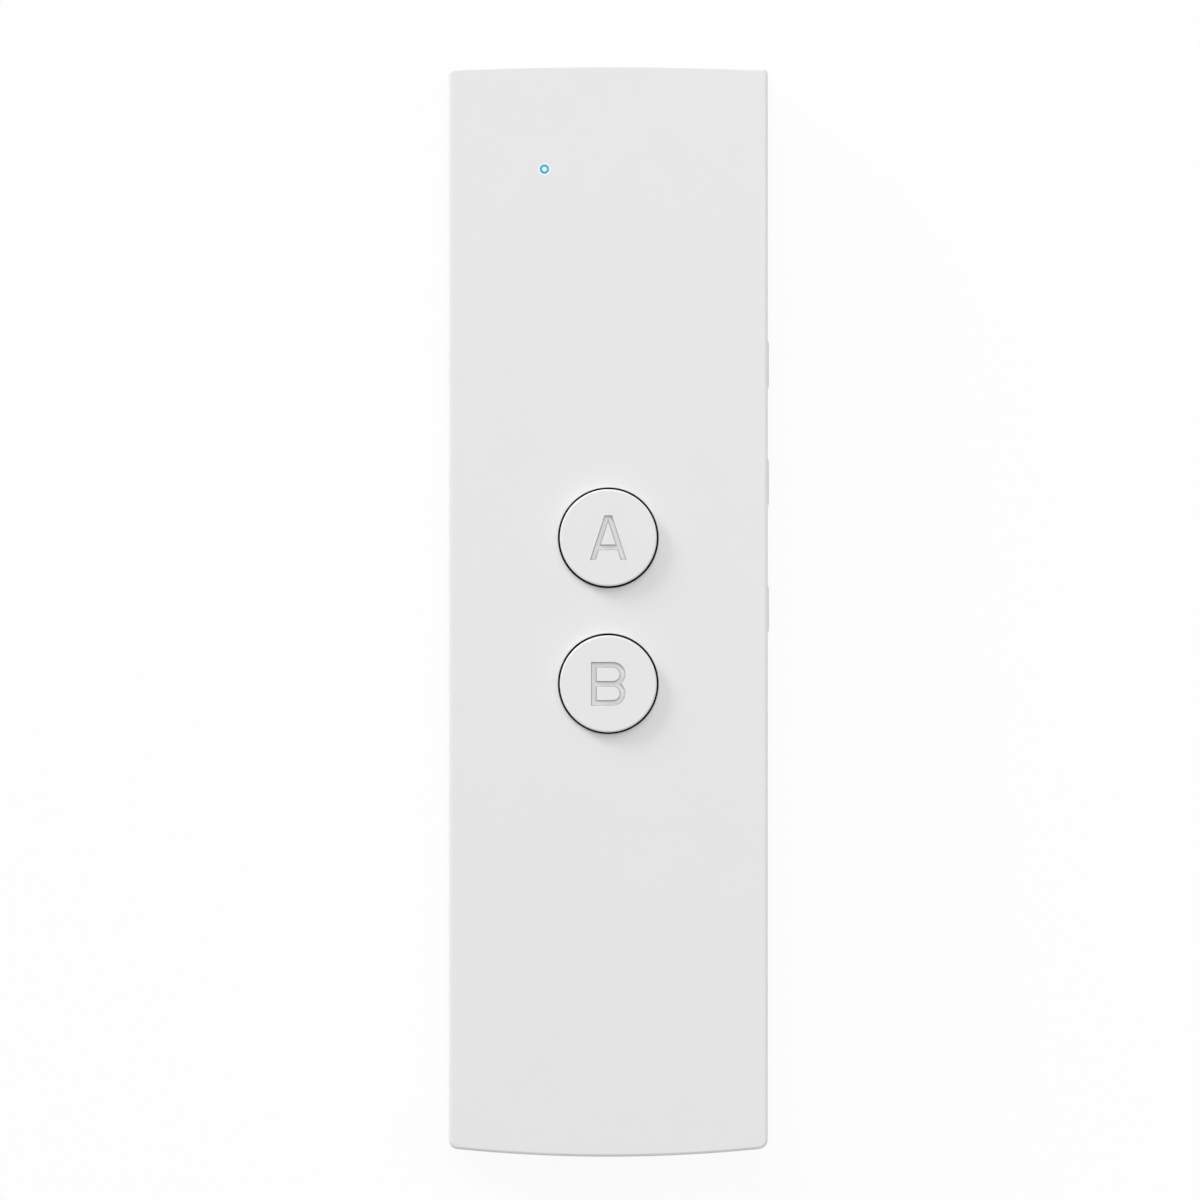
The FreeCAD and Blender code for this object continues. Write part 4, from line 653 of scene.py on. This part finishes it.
def side_bar(name, side, across, along, up):
    """Make a block on one side of the case, from how far it reaches across, along and up."""
    near, far = sorted(reach * side for reach in across)
    return bar(name, (near, along[0], up[0]), (far, along[1], up[1]))


def ring(name, x, y, low, high, outer, inner):
    """Make an upright tube."""
    piece = rod(name, x, y, low, high, outer)
    carve(piece, rod("bore", x, y, low - MM, high + MM, inner))
    return piece


# %% Tell edges apart
NEAR = 0.001 * MM
WALL_NEAR = 0.02 * MM
SHARP = 0.5


def runs_along(edge, axis):
    """Tell whether an edge runs straight along an axis."""
    run = edge.verts[1].co - edge.verts[0].co
    return abs(run[axis]) > run.length * 0.9999


def is_sharp(edge):
    """Tell whether two faces meet at an edge at a clear angle."""
    return len(edge.link_faces) == 2 and edge.calc_face_angle() > SHARP


def rim_edge(edge, level):
    """Tell whether a sharp edge runs round a solid's rim at a level."""
    return all(abs(point.co.z - level) < NEAR for point in edge.verts) and is_sharp(edge)


def near_round(edge, x, y, radius):
    """Tell whether an edge lies on an upright round wall."""
    away = [math.hypot(point.co.x - x, point.co.y - y) for point in edge.verts]
    return all(abs(distance - radius) < WALL_NEAR for distance in away)


print("hand tools ready")

# %% [markdown]
# A finished piece needs four things: faces that shade smooth over round parts and stay crisp at
# sharp ones, its finish, the body that it moves with, and the frame's nodes that it stands for,
# which are hidden. Weighted normals keep the big flat faces flat right up to their rounded edges,
# which is what makes moulded plastic look clean.

# %% Finish a piece and hand it to its body


def hand_over(piece, body, *nodes, finish=None):
    """Shade a piece, give it its finish, and let it stand for its nodes."""
    slot = SLOT_OF[nodes[0]]
    take(piece)
    bpy.ops.object.shade_smooth_by_angle(angle=math.radians(35))
    apply_modifier(piece, "WEIGHTED_NORMAL", mode="FACE_AREA", weight=100, keep_sharp=True)
    piece.data.materials.clear()
    piece.data.materials.append(FINISHES[finish or slot])
    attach(piece, body)
    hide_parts(*nodes)
    print(piece.name, "has", len(piece.data.polygons), "faces")


# %% [markdown]
# ## The bow-ended slab
#
# Both shells and every hollow in them share one plan: two straight sides and two ends that bow
# out a little, more at the foot than at the head. An exact bow is an arc of a very large circle,
# and Spin draws it: a single corner point is swept about the circle's middle, which lies far
# away on the long axis. Bridging the two arcs fills the plan with long clean strips, and the four
# corners are rounded as points before the plan is pulled up into a slab.

# %% Work out one bow
CROWN_TOP = 0.46 * MM
CROWN_BOTTOM = 1.09 * MM
CORNER_TOP = 0.8 * MM
CORNER_BOTTOM = 1.1 * MM
BOW_STEPS = 24


def bow(crown, way, inset):
    """Give a bow's middle, where its corners lie when set in, and how far it turns."""
    radius = HALF_WIDTH ** 2 / (2 * crown) + crown / 2
    centre = (HALF_LENGTH - radius) * way
    side = HALF_WIDTH - inset
    reach = math.sqrt((radius - inset) ** 2 - side ** 2)
    return centre, centre + reach * way, 2 * math.asin(side / (radius - inset))


print("head bow turns", round(math.degrees(bow(CROWN_TOP, 1, 0)[2]), 2), "degrees")

# %% Spin both bows, fill between them and pull up


def slab(name, inset, low, high, rounded=True):
    """Make the case's plan, set in by a distance, as a solid between two levels."""
    ends = {1: bow(CROWN_TOP, 1, inset), -1: bow(CROWN_BOTTOM, -1, inset)}
    side = HALF_WIDTH - inset
    top, foot = ends[1][1], ends[-1][1]
    bpy.ops.object.select_all(action="DESELECT")
    bpy.ops.mesh.primitive_plane_add(size=1, location=(0, (top + foot) / 2, low))
    piece = bpy.context.object
    piece.name = name
    piece.scale = (side * 2, top - foot, 1)
    edit(settle(piece))
    select("VERT", lambda point: point.co.x * (point.co.y - (top + foot) / 2) > 0)
    bpy.ops.mesh.delete(type="VERT")
    for way, (centre, corner_y, turn) in ends.items():
        select("VERT", lambda point: abs(point.co.x + side * way) < NEAR
               and abs(point.co.y - corner_y) < NEAR)
        bpy.ops.mesh.spin(steps=BOW_STEPS, angle=turn, center=(0, centre, low), axis=(0, 0, 1))
    bpy.ops.mesh.select_mode(type="EDGE")
    bpy.ops.mesh.select_all(action="SELECT")
    bpy.ops.mesh.bridge_edge_loops()
    for radius, way in ((CORNER_TOP, 1), (CORNER_BOTTOM, -1)):
        if rounded:
            select("VERT", lambda point: abs(abs(point.co.x) - side) < NEAR
                   and point.co.y * way > 0)
            bpy.ops.mesh.bevel(offset=radius, segments=8, affect="VERTICES", profile=0.5)
    bpy.ops.mesh.select_mode(type="FACE")
    bpy.ops.mesh.select_all(action="SELECT")
    bpy.ops.mesh.extrude_region_move(TRANSFORM_OT_translate={"value": (0, 0, high - low)})
    bpy.ops.mesh.select_all(action="SELECT")
    bpy.ops.mesh.normals_make_consistent(inside=False)
    bpy.ops.object.mode_set(mode="OBJECT")
    return piece


# %% [markdown]
# ## The front shell
#
# This is the large moulding that the hand sees: the face and the side walls in one. Its outer edge
# has a tight round of under half a millimetre, which draws the thin bright line along the top and
# the dark line along the foot. The hollow, holes and slots are cut after the outside is rounded,
# as a toolmaker would cut cores into a block.

# %% Round the block and hollow it
FRONT_ROUND = 0.45 * MM
SEAM_BREAK = 0.05 * MM
front = slab("front_shell", 0, SEAM, FRONT)
soften(front, FRONT_ROUND, 6, lambda edge: rim_edge(edge, FRONT))
soften(front, SEAM_BREAK, 2, lambda edge: rim_edge(edge, SEAM))
carve(front, slab("front_hollow", SIDE_WALL, SEAM - MM, FRONT_INSIDE, rounded=False))
print("hollow block has", len(front.data.polygons), "faces")

# %% Add screw bosses and the collars that guide the buttons and the lamp pin
BOSS_RADIUS = 1.7 * MM
COLLAR_INNER = 7.3 * MM
COLLAR_OUTER = 8.1 * MM
COLLAR_FOOT = FRONT_INSIDE - 1.3 * MM
NOTCH_HALF_WIDE = 0.95 * MM
PIN_COLLAR_INNER = 1.15 * MM
PIN_COLLAR_OUTER = 1.85 * MM
ROOT = FRONT_INSIDE + 0.3 * MM
SCREW_HEAD = 1.25 * MM
MIDDLE_ROW = 24.0 * MM
screw_low, screw_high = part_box("board_screws")
screw_x = screw_high.x - SCREW_HEAD
screw_rows = (screw_high.y - SCREW_HEAD, MIDDLE_ROW, screw_low.y + SCREW_HEAD)
screw_places = [(screw_x * side, row) for row in screw_rows for side in (-1, 1)]
growth = [rod("boss", x, y, BOARD_TOP, ROOT, BOSS_RADIUS, 48) for x, y in screw_places]
for place in BUTTONS.values():
    collar = ring("collar", 0, place.y, COLLAR_FOOT, ROOT, COLLAR_OUTER, COLLAR_INNER)
    notch_y = math.copysign((COLLAR_INNER + COLLAR_OUTER) / 2, place.y) + place.y
    carve(collar, bar("notch", (-NOTCH_HALF_WIDE, notch_y - MM, 0),
                      (NOTCH_HALF_WIDE, notch_y + MM, FRONT)))
    growth.append(collar)
growth.append(ring("pin_collar", LAMP.x, LAMP.y, COLLAR_FOOT, ROOT, PIN_COLLAR_OUTER,
                   PIN_COLLAR_INNER))
weld(front, *growth)
print("grew", len(growth), "bosses and collars")

# %% Cut the face's openings and drill the bosses
PILOT_RADIUS = 0.75 * MM
PILOT_DEPTH = 2.6 * MM
LAMP_HOLE_RADIUS = 0.62 * MM
cutters = [rod("pilot", x, y, BOARD_TOP - MM, BOARD_TOP + PILOT_DEPTH, PILOT_RADIUS, 32)
           for x, y in screw_places]
for place in BUTTONS.values():
    cutters.append(rod("button_hole", 0, place.y, BOARD_TOP, FRONT + MM, HOLE_RADIUS, 160))
cutters.append(rod("lamp_hole", LAMP.x, LAMP.y, BOARD_TOP, FRONT + MM, LAMP_HOLE_RADIUS, 64))
carve(front, *cutters)
RIM_ROUND = 0.12 * MM
for place in BUTTONS.values():
    soften(front, RIM_ROUND, 3, lambda edge: rim_edge(edge, FRONT)
           and near_round(edge, 0, place.y, HOLE_RADIUS))
print("cut", len(cutters), "holes")

# %% [markdown]
# The three key slots go through the right wall, the charging opening and the microphone's pin
# hole through the foot. A slot's mouth is broken by a few hundredths of a millimetre, because a
# moulded edge is never knife sharp, and that sliver is what catches the light.

# %% Model the key slots and the charging opening as cutters
KEY_HALF_LONG = 3.35 * MM
KEY_HALF_TALL = 1.2 * MM
KEY_CORNER = 0.9 * MM
KEY_LEVEL = 6.2 * MM
SLOT_PLAY = 0.1 * MM
PORT_LEVEL = 5.5 * MM
PORT_HALF_WIDE = 3.75 * MM
PORT_HALF_TALL = 1.25 * MM
PORT_CORNER = 0.6 * MM
PORT_PLAY = 0.3 * MM


def stadium(name, near, far, y, half_long, half_tall, corner):
    """Make a bar along X whose four long edges are rounded."""
    piece = bar(name, (near, y - half_long, KEY_LEVEL - half_tall),
                (far, y + half_long, KEY_LEVEL + half_tall))
    soften(piece, corner, 8, lambda edge: runs_along(edge, 0))
    return piece


def port_block(name, inset, front_end, back_end):
    """Make the charging opening's outline as a bar along Y, its two lower corners cut off."""
    side = PORT_HALF_WIDE - inset
    tall = PORT_HALF_TALL - inset
    piece = bar(name, (-side, front_end, PORT_LEVEL - tall), (side, back_end, PORT_LEVEL + tall))
    soften(piece, PORT_CORNER, 1, lambda edge: runs_along(edge, 1)
           and edge.verts[0].co.z < PORT_LEVEL)
    return piece


slots = [
    stadium("slot", HALF_WIDTH - 2 * MM, HALF_WIDTH + MM, place.y, KEY_HALF_LONG + SLOT_PLAY,
            KEY_HALF_TALL + SLOT_PLAY, KEY_CORNER + SLOT_PLAY)
    for place in KEYS.values()
]
port_hole = port_block("port_hole", -PORT_PLAY, -HALF_LENGTH - MM, -HALF_LENGTH + 3 * MM)
print("modelled", len(slots), "slot cutters")

# %% Cut the slots, the charging opening, the microphone's hole and the snap catches
MIC_HOLE_RADIUS = 0.45 * MM
MIC_PLACE = (8.0 * MM, 7.1 * MM)
HOOK_ROWS = (-42 * MM, 0, 42 * MM)
CATCH_ACROSS = (18.6 * MM, 19.5 * MM)
CATCH_HALF_LONG = 3.1 * MM
CATCH_LEVELS = (3.8 * MM, 4.4 * MM)
mic_hole = rod("mic_hole", 0, 0, -2 * MM, 2 * MM, MIC_HOLE_RADIUS, 32)
mic_hole.rotation_euler = (math.radians(90), 0, 0)
mic_hole.location = (MIC_PLACE[0], -HALF_LENGTH + MM, MIC_PLACE[1])
settle(mic_hole)
catches = [
    side_bar("catch", side, CATCH_ACROSS, (y - CATCH_HALF_LONG, y + CATCH_HALF_LONG), CATCH_LEVELS)
    for side in (-1, 1) for y in HOOK_ROWS
]
carve(front, *slots, port_hole, mic_hole, *catches)
print("cut", len(slots), "slots and", len(catches), "catches")

# %% Break the mouths of the slots
MOUTH_BREAK = 0.06 * MM
KEY_BAND = (4.5 * MM, 8 * MM)


def on_key_side(edge):
    """Tell whether a sharp edge lies in the key side's outer face, away from its own rims."""
    low, high = KEY_BAND
    flat = all(abs(point.co.x - HALF_WIDTH) < NEAR and low < point.co.z < high
               for point in edge.verts)
    return flat and is_sharp(edge)


broken = soften(front, MOUTH_BREAK, 2, on_key_side)
print("broke", broken, "edges round the key slots")
hand_over(front, "case", "front_housing")

# %% [markdown]
# ## The rear shell
#
# The rear tray closes the case. Its edge is rolled far wider than the front's, wider even than its
# own corners, so a bevel would fold over itself there. Insetting the bottom face again and again,
# each time a little further in and a little further down, walks along the same quarter circle
# and lets a corner shrink to a point on the way, where its vertices are merged.

# %% Roll the tray's bottom edge
REAR_ROUND = 1.2 * MM
SHRUNK_CORNER = 0.12 * MM
EXACT = 0.0001 * MM
walk = [(math.radians(degrees), 0) for degrees in (12, 24, 36, 48, 60)]
walk.append((math.acos(1 - CORNER_TOP / REAR_ROUND), 1))
walk.append((math.acos(1 - CORNER_BOTTOM / REAR_ROUND), -1))
walk.append((math.pi / 2, 0))
rear = slab("rear_shell", 0, REAR_ROUND, SEAM)
edit(rear)
reached, level = 0.0, REAR_ROUND
for angle, end in walk:
    inset = REAR_ROUND * (1 - math.cos(angle))
    lower = REAR_ROUND * (1 - math.sin(angle))
    select("FACE", lambda face: all(abs(point.co.z - level) < EXACT for point in face.verts))
    bpy.ops.mesh.inset(thickness=inset - reached, depth=level - lower, use_even_offset=True)
    if end:
        select("VERT", lambda point: abs(point.co.z - lower) < EXACT and point.co.y * end > 0)
        bpy.ops.mesh.remove_doubles(threshold=SHRUNK_CORNER)
    reached, level = inset, lower
bpy.ops.object.mode_set(mode="OBJECT")
lowest = min(point.co.z for point in rear.data.vertices)
print("tray stands at", round(lowest / MM, 4), "mm")

# %% Break the seam edge, raise the lip and hollow the tray
SEAM_CHAMFER = 0.15 * MM
LIP_INSET = 1.4 * MM
LIP_TOP = SEAM + 0.9 * MM
TRAY_INSET = 2.3 * MM
soften(rear, SEAM_CHAMFER, 1, lambda edge: rim_edge(edge, SEAM))
weld(rear, slab("lip", LIP_INSET, SEAM - 0.5 * MM, LIP_TOP, rounded=False))
carve(rear, slab("tray_hollow", TRAY_INSET, FLOOR_TOP, LIP_TOP + MM, rounded=False))
print("tray has", len(rear.data.polygons), "faces")

# %% Grow the hooks, posts and ribs
POST_X = HALF_WIDTH - TRAY_INSET - 1.2 * MM
POST_ROWS = (-49.5 * MM, -16.5 * MM, 16.5 * MM, 49.5 * MM)
POST_TOP = BOARD_BOTTOM - 0.05 * MM
BOARD_POST_RADIUS = 0.8 * MM
HOOK_ACROSS = (18.4 * MM, 19.4 * MM)
HOOK_HALF_LONG = 3 * MM
HOOK_LEVELS = (3.9 * MM, LIP_TOP)
RIB_ACROSS = (15.2 * MM, 16.0 * MM)
RIB_FOOT = FLOOR_TOP - 0.3 * MM
RIB_TOP = 2.7 * MM
SPEAKER_RIB_TOP = 3.3 * MM
SPEAKER_RIB_OUTER = 11.05 * MM
SPEAKER_RIB_INNER = 10.15 * MM
cell_low, cell_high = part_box("battery_cell")
growth = [ring("speaker_rib", SPEAKER.x, SPEAKER.y, RIB_FOOT, SPEAKER_RIB_TOP, SPEAKER_RIB_OUTER,
               SPEAKER_RIB_INNER)]
for side in (-1, 1):
    for y in HOOK_ROWS:
        along = (y - HOOK_HALF_LONG, y + HOOK_HALF_LONG)
        growth.append(side_bar("hook", side, HOOK_ACROSS, along, HOOK_LEVELS))
    for y in POST_ROWS:
        growth.append(rod("post", POST_X * side, y, RIB_FOOT, POST_TOP, BOARD_POST_RADIUS, 32))
    along = (cell_low.y, cell_high.y)
    growth.append(side_bar("rib", side, RIB_ACROSS, along, (RIB_FOOT, RIB_TOP)))
weld(rear, *growth)
print("grew", len(growth), "hooks, posts and ribs")

# %% Pierce the speaker grille and notch the lip for the charging socket
GRILLE_PITCH = 1.9 * MM
GRILLE_HOLE = 0.55 * MM
SOCKET_NOTCH = 4.35 * MM
NOTCH_MARGIN = 0.5 * MM
holes = [rod("hole", SPEAKER.x, SPEAKER.y, -MM, 2 * MM, GRILLE_HOLE, 24)]
for circle in (1, 2, 3):
    for number in range(6 * circle):
        angle = math.tau * number / (6 * circle)
        x = SPEAKER.x + GRILLE_PITCH * circle * math.cos(angle)
        y = SPEAKER.y + GRILLE_PITCH * circle * math.sin(angle)
        holes.append(rod("hole", x, y, -MM, 2 * MM, GRILLE_HOLE, 24))
notch_end = -HALF_LENGTH + TRAY_INSET + CROWN_BOTTOM + NOTCH_MARGIN
notch = bar("notch", (-SOCKET_NOTCH, -HALF_LENGTH - MM, SEAM),
            (SOCKET_NOTCH, notch_end, LIP_TOP + MM))
carve(rear, *holes, notch)
HOLE_BREAK = 0.08 * MM
broken = soften(rear, HOLE_BREAK, 2, lambda edge: rim_edge(edge, 0.0))
print("pierced", len(holes), "holes and broke", broken, "edges")
hand_over(rear, "case", "rear_housing")

# %% [markdown]
# ## The two round buttons
#
# A cap stands 1.2 mm above the face and has a small soft edge. Under the face it carries a flange,
# so it can't fall out, a tab so it can't turn, and a centre post that pushes the click switch. One
# cap is modelled and copied, because both are the same moulding apart from the mark. The marks
# are sunk four tenths of a millimetre, with an even stroke and lightly broken edges.

# %% Model one plain cap
FLANGE_TOP = FRONT_INSIDE - 0.05 * MM
FLANGE_FOOT = FLANGE_TOP - 0.6 * MM
FLANGE_RADIUS = 7.0 * MM
TAB_HALF_WIDE = 0.8 * MM
TAB_ROOT = 6.5 * MM
TAB_TIP = 7.7 * MM
CAP_ROUND = 0.24 * MM
CAP_INSIDE = CAP_TOP - 1.4 * MM
HOLLOW_RADIUS = 5.0 * MM
POST_RADIUS = 1.6 * MM
POST_FOOT = 8.0 * MM
POST_JOIN = FLANGE_FOOT + 0.5 * MM
cap = rod("cap", 0, 0, FLANGE_FOOT, CAP_TOP, CAP_RADIUS, 160)
soften(cap, CAP_ROUND, 6, lambda edge: rim_edge(edge, CAP_TOP))
tab = bar("tab", (-TAB_HALF_WIDE, TAB_ROOT, FLANGE_FOOT), (TAB_HALF_WIDE, TAB_TIP, FLANGE_TOP))
weld(cap, rod("flange", 0, 0, FLANGE_FOOT, FLANGE_TOP, FLANGE_RADIUS, 96))
weld(cap, tab)
carve(cap, ring("hollow", 0, 0, FLANGE_FOOT - MM, CAP_INSIDE, HOLLOW_RADIUS, POST_RADIUS))
weld(cap, rod("post", 0, 0, POST_FOOT, POST_JOIN, POST_RADIUS, 96))
print("plain cap has", len(cap.data.polygons), "faces")

# %% Draw the two marks as cutters
MARK_EDGE = 0.02 * MM
MARK_DRAFT = 0.12 * MM
STROKE = 0.73 * MM


def arc(x, y, radius, begin, end, steps=18):
    """Give points along an arc, both ends included."""
    angles = [begin + (end - begin) * step / steps for step in range(steps + 1)]
    return [(x + radius * math.cos(angle), y + radius * math.sin(angle)) for angle in angles]


def mark_cutter(name, loops):
    """Pull rings of points into a mark's outline, fill it and push it down to a drafted floor."""
    drawn = []
    for points in loops:
        bpy.ops.object.select_all(action="DESELECT")
        bpy.ops.mesh.primitive_circle_add(vertices=len(points), radius=MM, fill_type="NOTHING")
        drawn.append(bpy.context.object)
        for point, (x, y) in zip(drawn[-1].data.vertices, points):
            point.co = (x, y, CAP_TOP + MARK_DEPTH)
    piece = bundle(drawn)
    piece.name = name
    edit(piece)
    bpy.ops.mesh.select_all(action="SELECT")
    bpy.ops.mesh.fill()
    down = (0, 0, -MARK_DEPTH - MARK_EDGE)
    bpy.ops.mesh.extrude_region_move(TRANSFORM_OT_translate={"value": down})
    bpy.ops.mesh.select_all(action="SELECT")
    bpy.ops.mesh.normals_make_consistent(inside=False)
    select("FACE", lambda face: all(point.co.z < CAP_TOP for point in face.verts))
    bpy.ops.mesh.inset(thickness=MARK_DRAFT, depth=MARK_DEPTH - MARK_EDGE, use_even_offset=True)
    bpy.ops.object.mode_set(mode="OBJECT")
    return piece


def make_mark_a():
    """An upright A of even stroke with a flat tip."""
    half_tall, half_wide, half_tip = 2.85 * MM, 2.35 * MM, 0.485 * MM
    lean = (half_wide - half_tip) / (2 * half_tall)
    leg = STROKE * math.sqrt(1 + lean * lean)
    bar_top = -0.88 * MM
    bar_low = bar_top - STROKE

    def inner(y):
        return half_wide - leg - lean * (y + half_tall)

    peak = (half_wide - leg) / lean - half_tall
    outside = [
        (inner(-half_tall), -half_tall), (half_wide, -half_tall), (half_tip, half_tall),
        (-half_tip, half_tall), (-half_wide, -half_tall), (-inner(-half_tall), -half_tall),
        (-inner(bar_low), bar_low), (inner(bar_low), bar_low),
    ]
    counter = [(-inner(bar_top), bar_top), (inner(bar_top), bar_top), (0, peak)]
    return mark_cutter("mark_a", [outside, counter])


def make_mark_b():
    """An upright B of even stroke with two equal bowls."""
    half_tall, left = 2.8 * MM, -2.2 * MM
    inner = (2 * half_tall - 3 * STROKE) / 4
    outer = inner + STROKE
    bowl_x = -left - outer
    bowl_y = inner + STROKE / 2
    quarter = math.pi / 2
    waist = math.asin(bowl_y / outer)
    outside = [(left, -half_tall)]
    outside += arc(bowl_x, -bowl_y, outer, -quarter, waist)
    outside += arc(bowl_x, bowl_y, outer, -waist, quarter)[1:]
    outside.append((left, half_tall))
    loops = [outside]
    for y in (-bowl_y, bowl_y):
        stem = left + STROKE
        counter = arc(bowl_x, y, inner, -quarter, quarter, 12)
        loops.append([(stem, y - inner), *counter, (stem, y + inner)])
    return mark_cutter("mark_b", loops)


# %% Sink a mark into each copy of the cap
MARK_BREAK = 0.015 * MM


def in_mark(edge):
    """Tell whether a sharp edge of the cap's top belongs to its mark."""
    near = all(math.hypot(point.co.x, point.co.y) < MARK_REACH for point in edge.verts)
    return near and rim_edge(edge, CAP_TOP)


for name, make_mark in (("button_a", make_mark_a), ("button_b", make_mark_b)):
    button = clone(cap, f"{name}_cap")
    if name == "button_b":
        edit(button)
        bpy.ops.mesh.select_all(action="SELECT")
        bpy.ops.transform.resize(value=(-1, -1, 1), center_override=(0, 0, 0))
        bpy.ops.object.mode_set(mode="OBJECT")
    carve(button, make_mark())
    broken = soften(button, MARK_BREAK, 2, in_mark)
    button.location = (0, BUTTONS[name].y, 0)
    settle(button)
    print("broke", broken, "edges of the mark")
    hand_over(button, name, name, finish="button_white")
bpy.data.objects.remove(cap)

# %% [markdown]
# ## The three side keys
#
# Each key is a long pill with sloped ends, proud of the wall by a quarter of a millimetre. The
# slope comes from one inset of its outer face that also moves outwards. Behind the wall a flange
# holds it in, and a nub presses the switch. The flange bites a thousandth of a millimetre into the
# key, so that the Boolean joins the two as one solid. The three keys are alike, so one is modelled
# and copied.

# %% Model one key and copy it along the edge
KEY_SLOPE_RISE = 0.24 * MM
KEY_SLOPE_RUN = 0.6 * MM
KEY_FACE_ROUND = 0.12 * MM
KEY_FLANGE_PLAY = 0.05 * MM
KEY_FLANGE_THICK = 0.6 * MM
KEY_FLANGE_HALF_LONG = 4.05 * MM
KEY_FLANGE_HALF_TALL = 1.55 * MM
FLANGE_BITE = 0.001 * MM
NUB_HALF_LONG = 1.1 * MM
NUB_HALF_TALL = 0.45 * MM
NUB_ROOT = 0.5 * MM
key_low, key_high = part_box("power_key")
key_back = HALF_WIDTH - SIDE_WALL - KEY_FLANGE_PLAY
key = stadium("key", key_back, key_high.x - KEY_SLOPE_RISE, 0, KEY_HALF_LONG, KEY_HALF_TALL,
              KEY_CORNER)
edit(key)
select("FACE", lambda face: face.normal.x > 0.99)
bpy.ops.mesh.inset(thickness=KEY_SLOPE_RUN, depth=KEY_SLOPE_RISE, use_even_offset=True)
select("EDGE", lambda edge: all(abs(point.co.x - key_high.x) < NEAR for point in edge.verts))
bpy.ops.mesh.bevel(offset=KEY_FACE_ROUND, segments=3, affect="EDGES", profile=0.5)
bpy.ops.object.mode_set(mode="OBJECT")
flange = bar(
    "flange",
    (key_back - KEY_FLANGE_THICK, -KEY_FLANGE_HALF_LONG, KEY_LEVEL - KEY_FLANGE_HALF_TALL),
    (key_back + FLANGE_BITE, KEY_FLANGE_HALF_LONG, KEY_LEVEL + KEY_FLANGE_HALF_TALL),
)
nub_level = middle("power_key_switch_plunger").z
nub = bar("nub", (key_low.x, -NUB_HALF_LONG, nub_level - NUB_HALF_TALL),
          (key_back - NUB_ROOT, NUB_HALF_LONG, nub_level + NUB_HALF_TALL))
weld(key, flange)
weld(key, nub)
for name, place in KEYS.items():
    copy = clone(key, f"{name}_cap")
    copy.location = (0, place.y, 0)
    hand_over(settle(copy), name, name)
bpy.data.objects.remove(key)

# %% [markdown]
# ## The lamp pin and the charging socket's shell
#
# The pin is a clear stem with a flange, and its polished top ends flush with the face. The
# socket's shell is a strip of steel folded round, so its long edges are rounded and its mouth is
# broken a little, with two small wings soldered to the board.

# %% Turn the lamp pin
PIN_ROUND = 0.06 * MM
STEM_RADIUS = 0.8 * MM
STEM_TOP = FRONT_INSIDE - 0.1 * MM
PIN_FLANGE_RADIUS = 1.0 * MM
PIN_FLANGE_FOOT = FRONT_INSIDE - 0.6 * MM
pin_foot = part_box("lamp_light_pipe")[0].z
lamp_pin = rod("lamp_pin", LAMP.x, LAMP.y, pin_foot, FRONT, LAMP_RADIUS, 64)
soften(lamp_pin, PIN_ROUND, 3, lambda edge: rim_edge(edge, FRONT))
weld(lamp_pin, rod("stem", LAMP.x, LAMP.y, pin_foot, STEM_TOP, STEM_RADIUS, 48))
weld(lamp_pin, rod("pin_flange", LAMP.x, LAMP.y, PIN_FLANGE_FOOT, FRONT_INSIDE,
                   PIN_FLANGE_RADIUS, 48))
hand_over(lamp_pin, "case", "lamp_light_pipe")

# %% Fold the charging socket's shell
STEEL_THICK = 0.3 * MM
FOLD_ROUND = 0.15 * MM
SOCKET_BREAK = 0.05 * MM
WING_LONG = 3.2 * MM
WING_ROOT = 3.6 * MM
port_low, port_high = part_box("charging_socket_shell")
shell = port_block("socket_shell", 0, port_low.y, port_high.y)
soften(shell, FOLD_ROUND, 3, lambda edge: runs_along(edge, 1))
carve(shell, port_block("socket_bore", STEEL_THICK, port_low.y - MM, port_high.y + MM))
soften(shell, SOCKET_BREAK, 2, lambda edge: len(edge.link_faces) == 2
       and all(abs(point.co.y - port_low.y) < EXACT for point in edge.verts))
along = (port_high.y - WING_LONG, port_high.y)
for side in (-1, 1):
    weld(shell, side_bar("wing", side, (WING_ROOT, port_high.x), along,
                         (BOARD_TOP, BOARD_TOP + STEEL_THICK)))
hand_over(shell, "case", "charging_socket_shell")
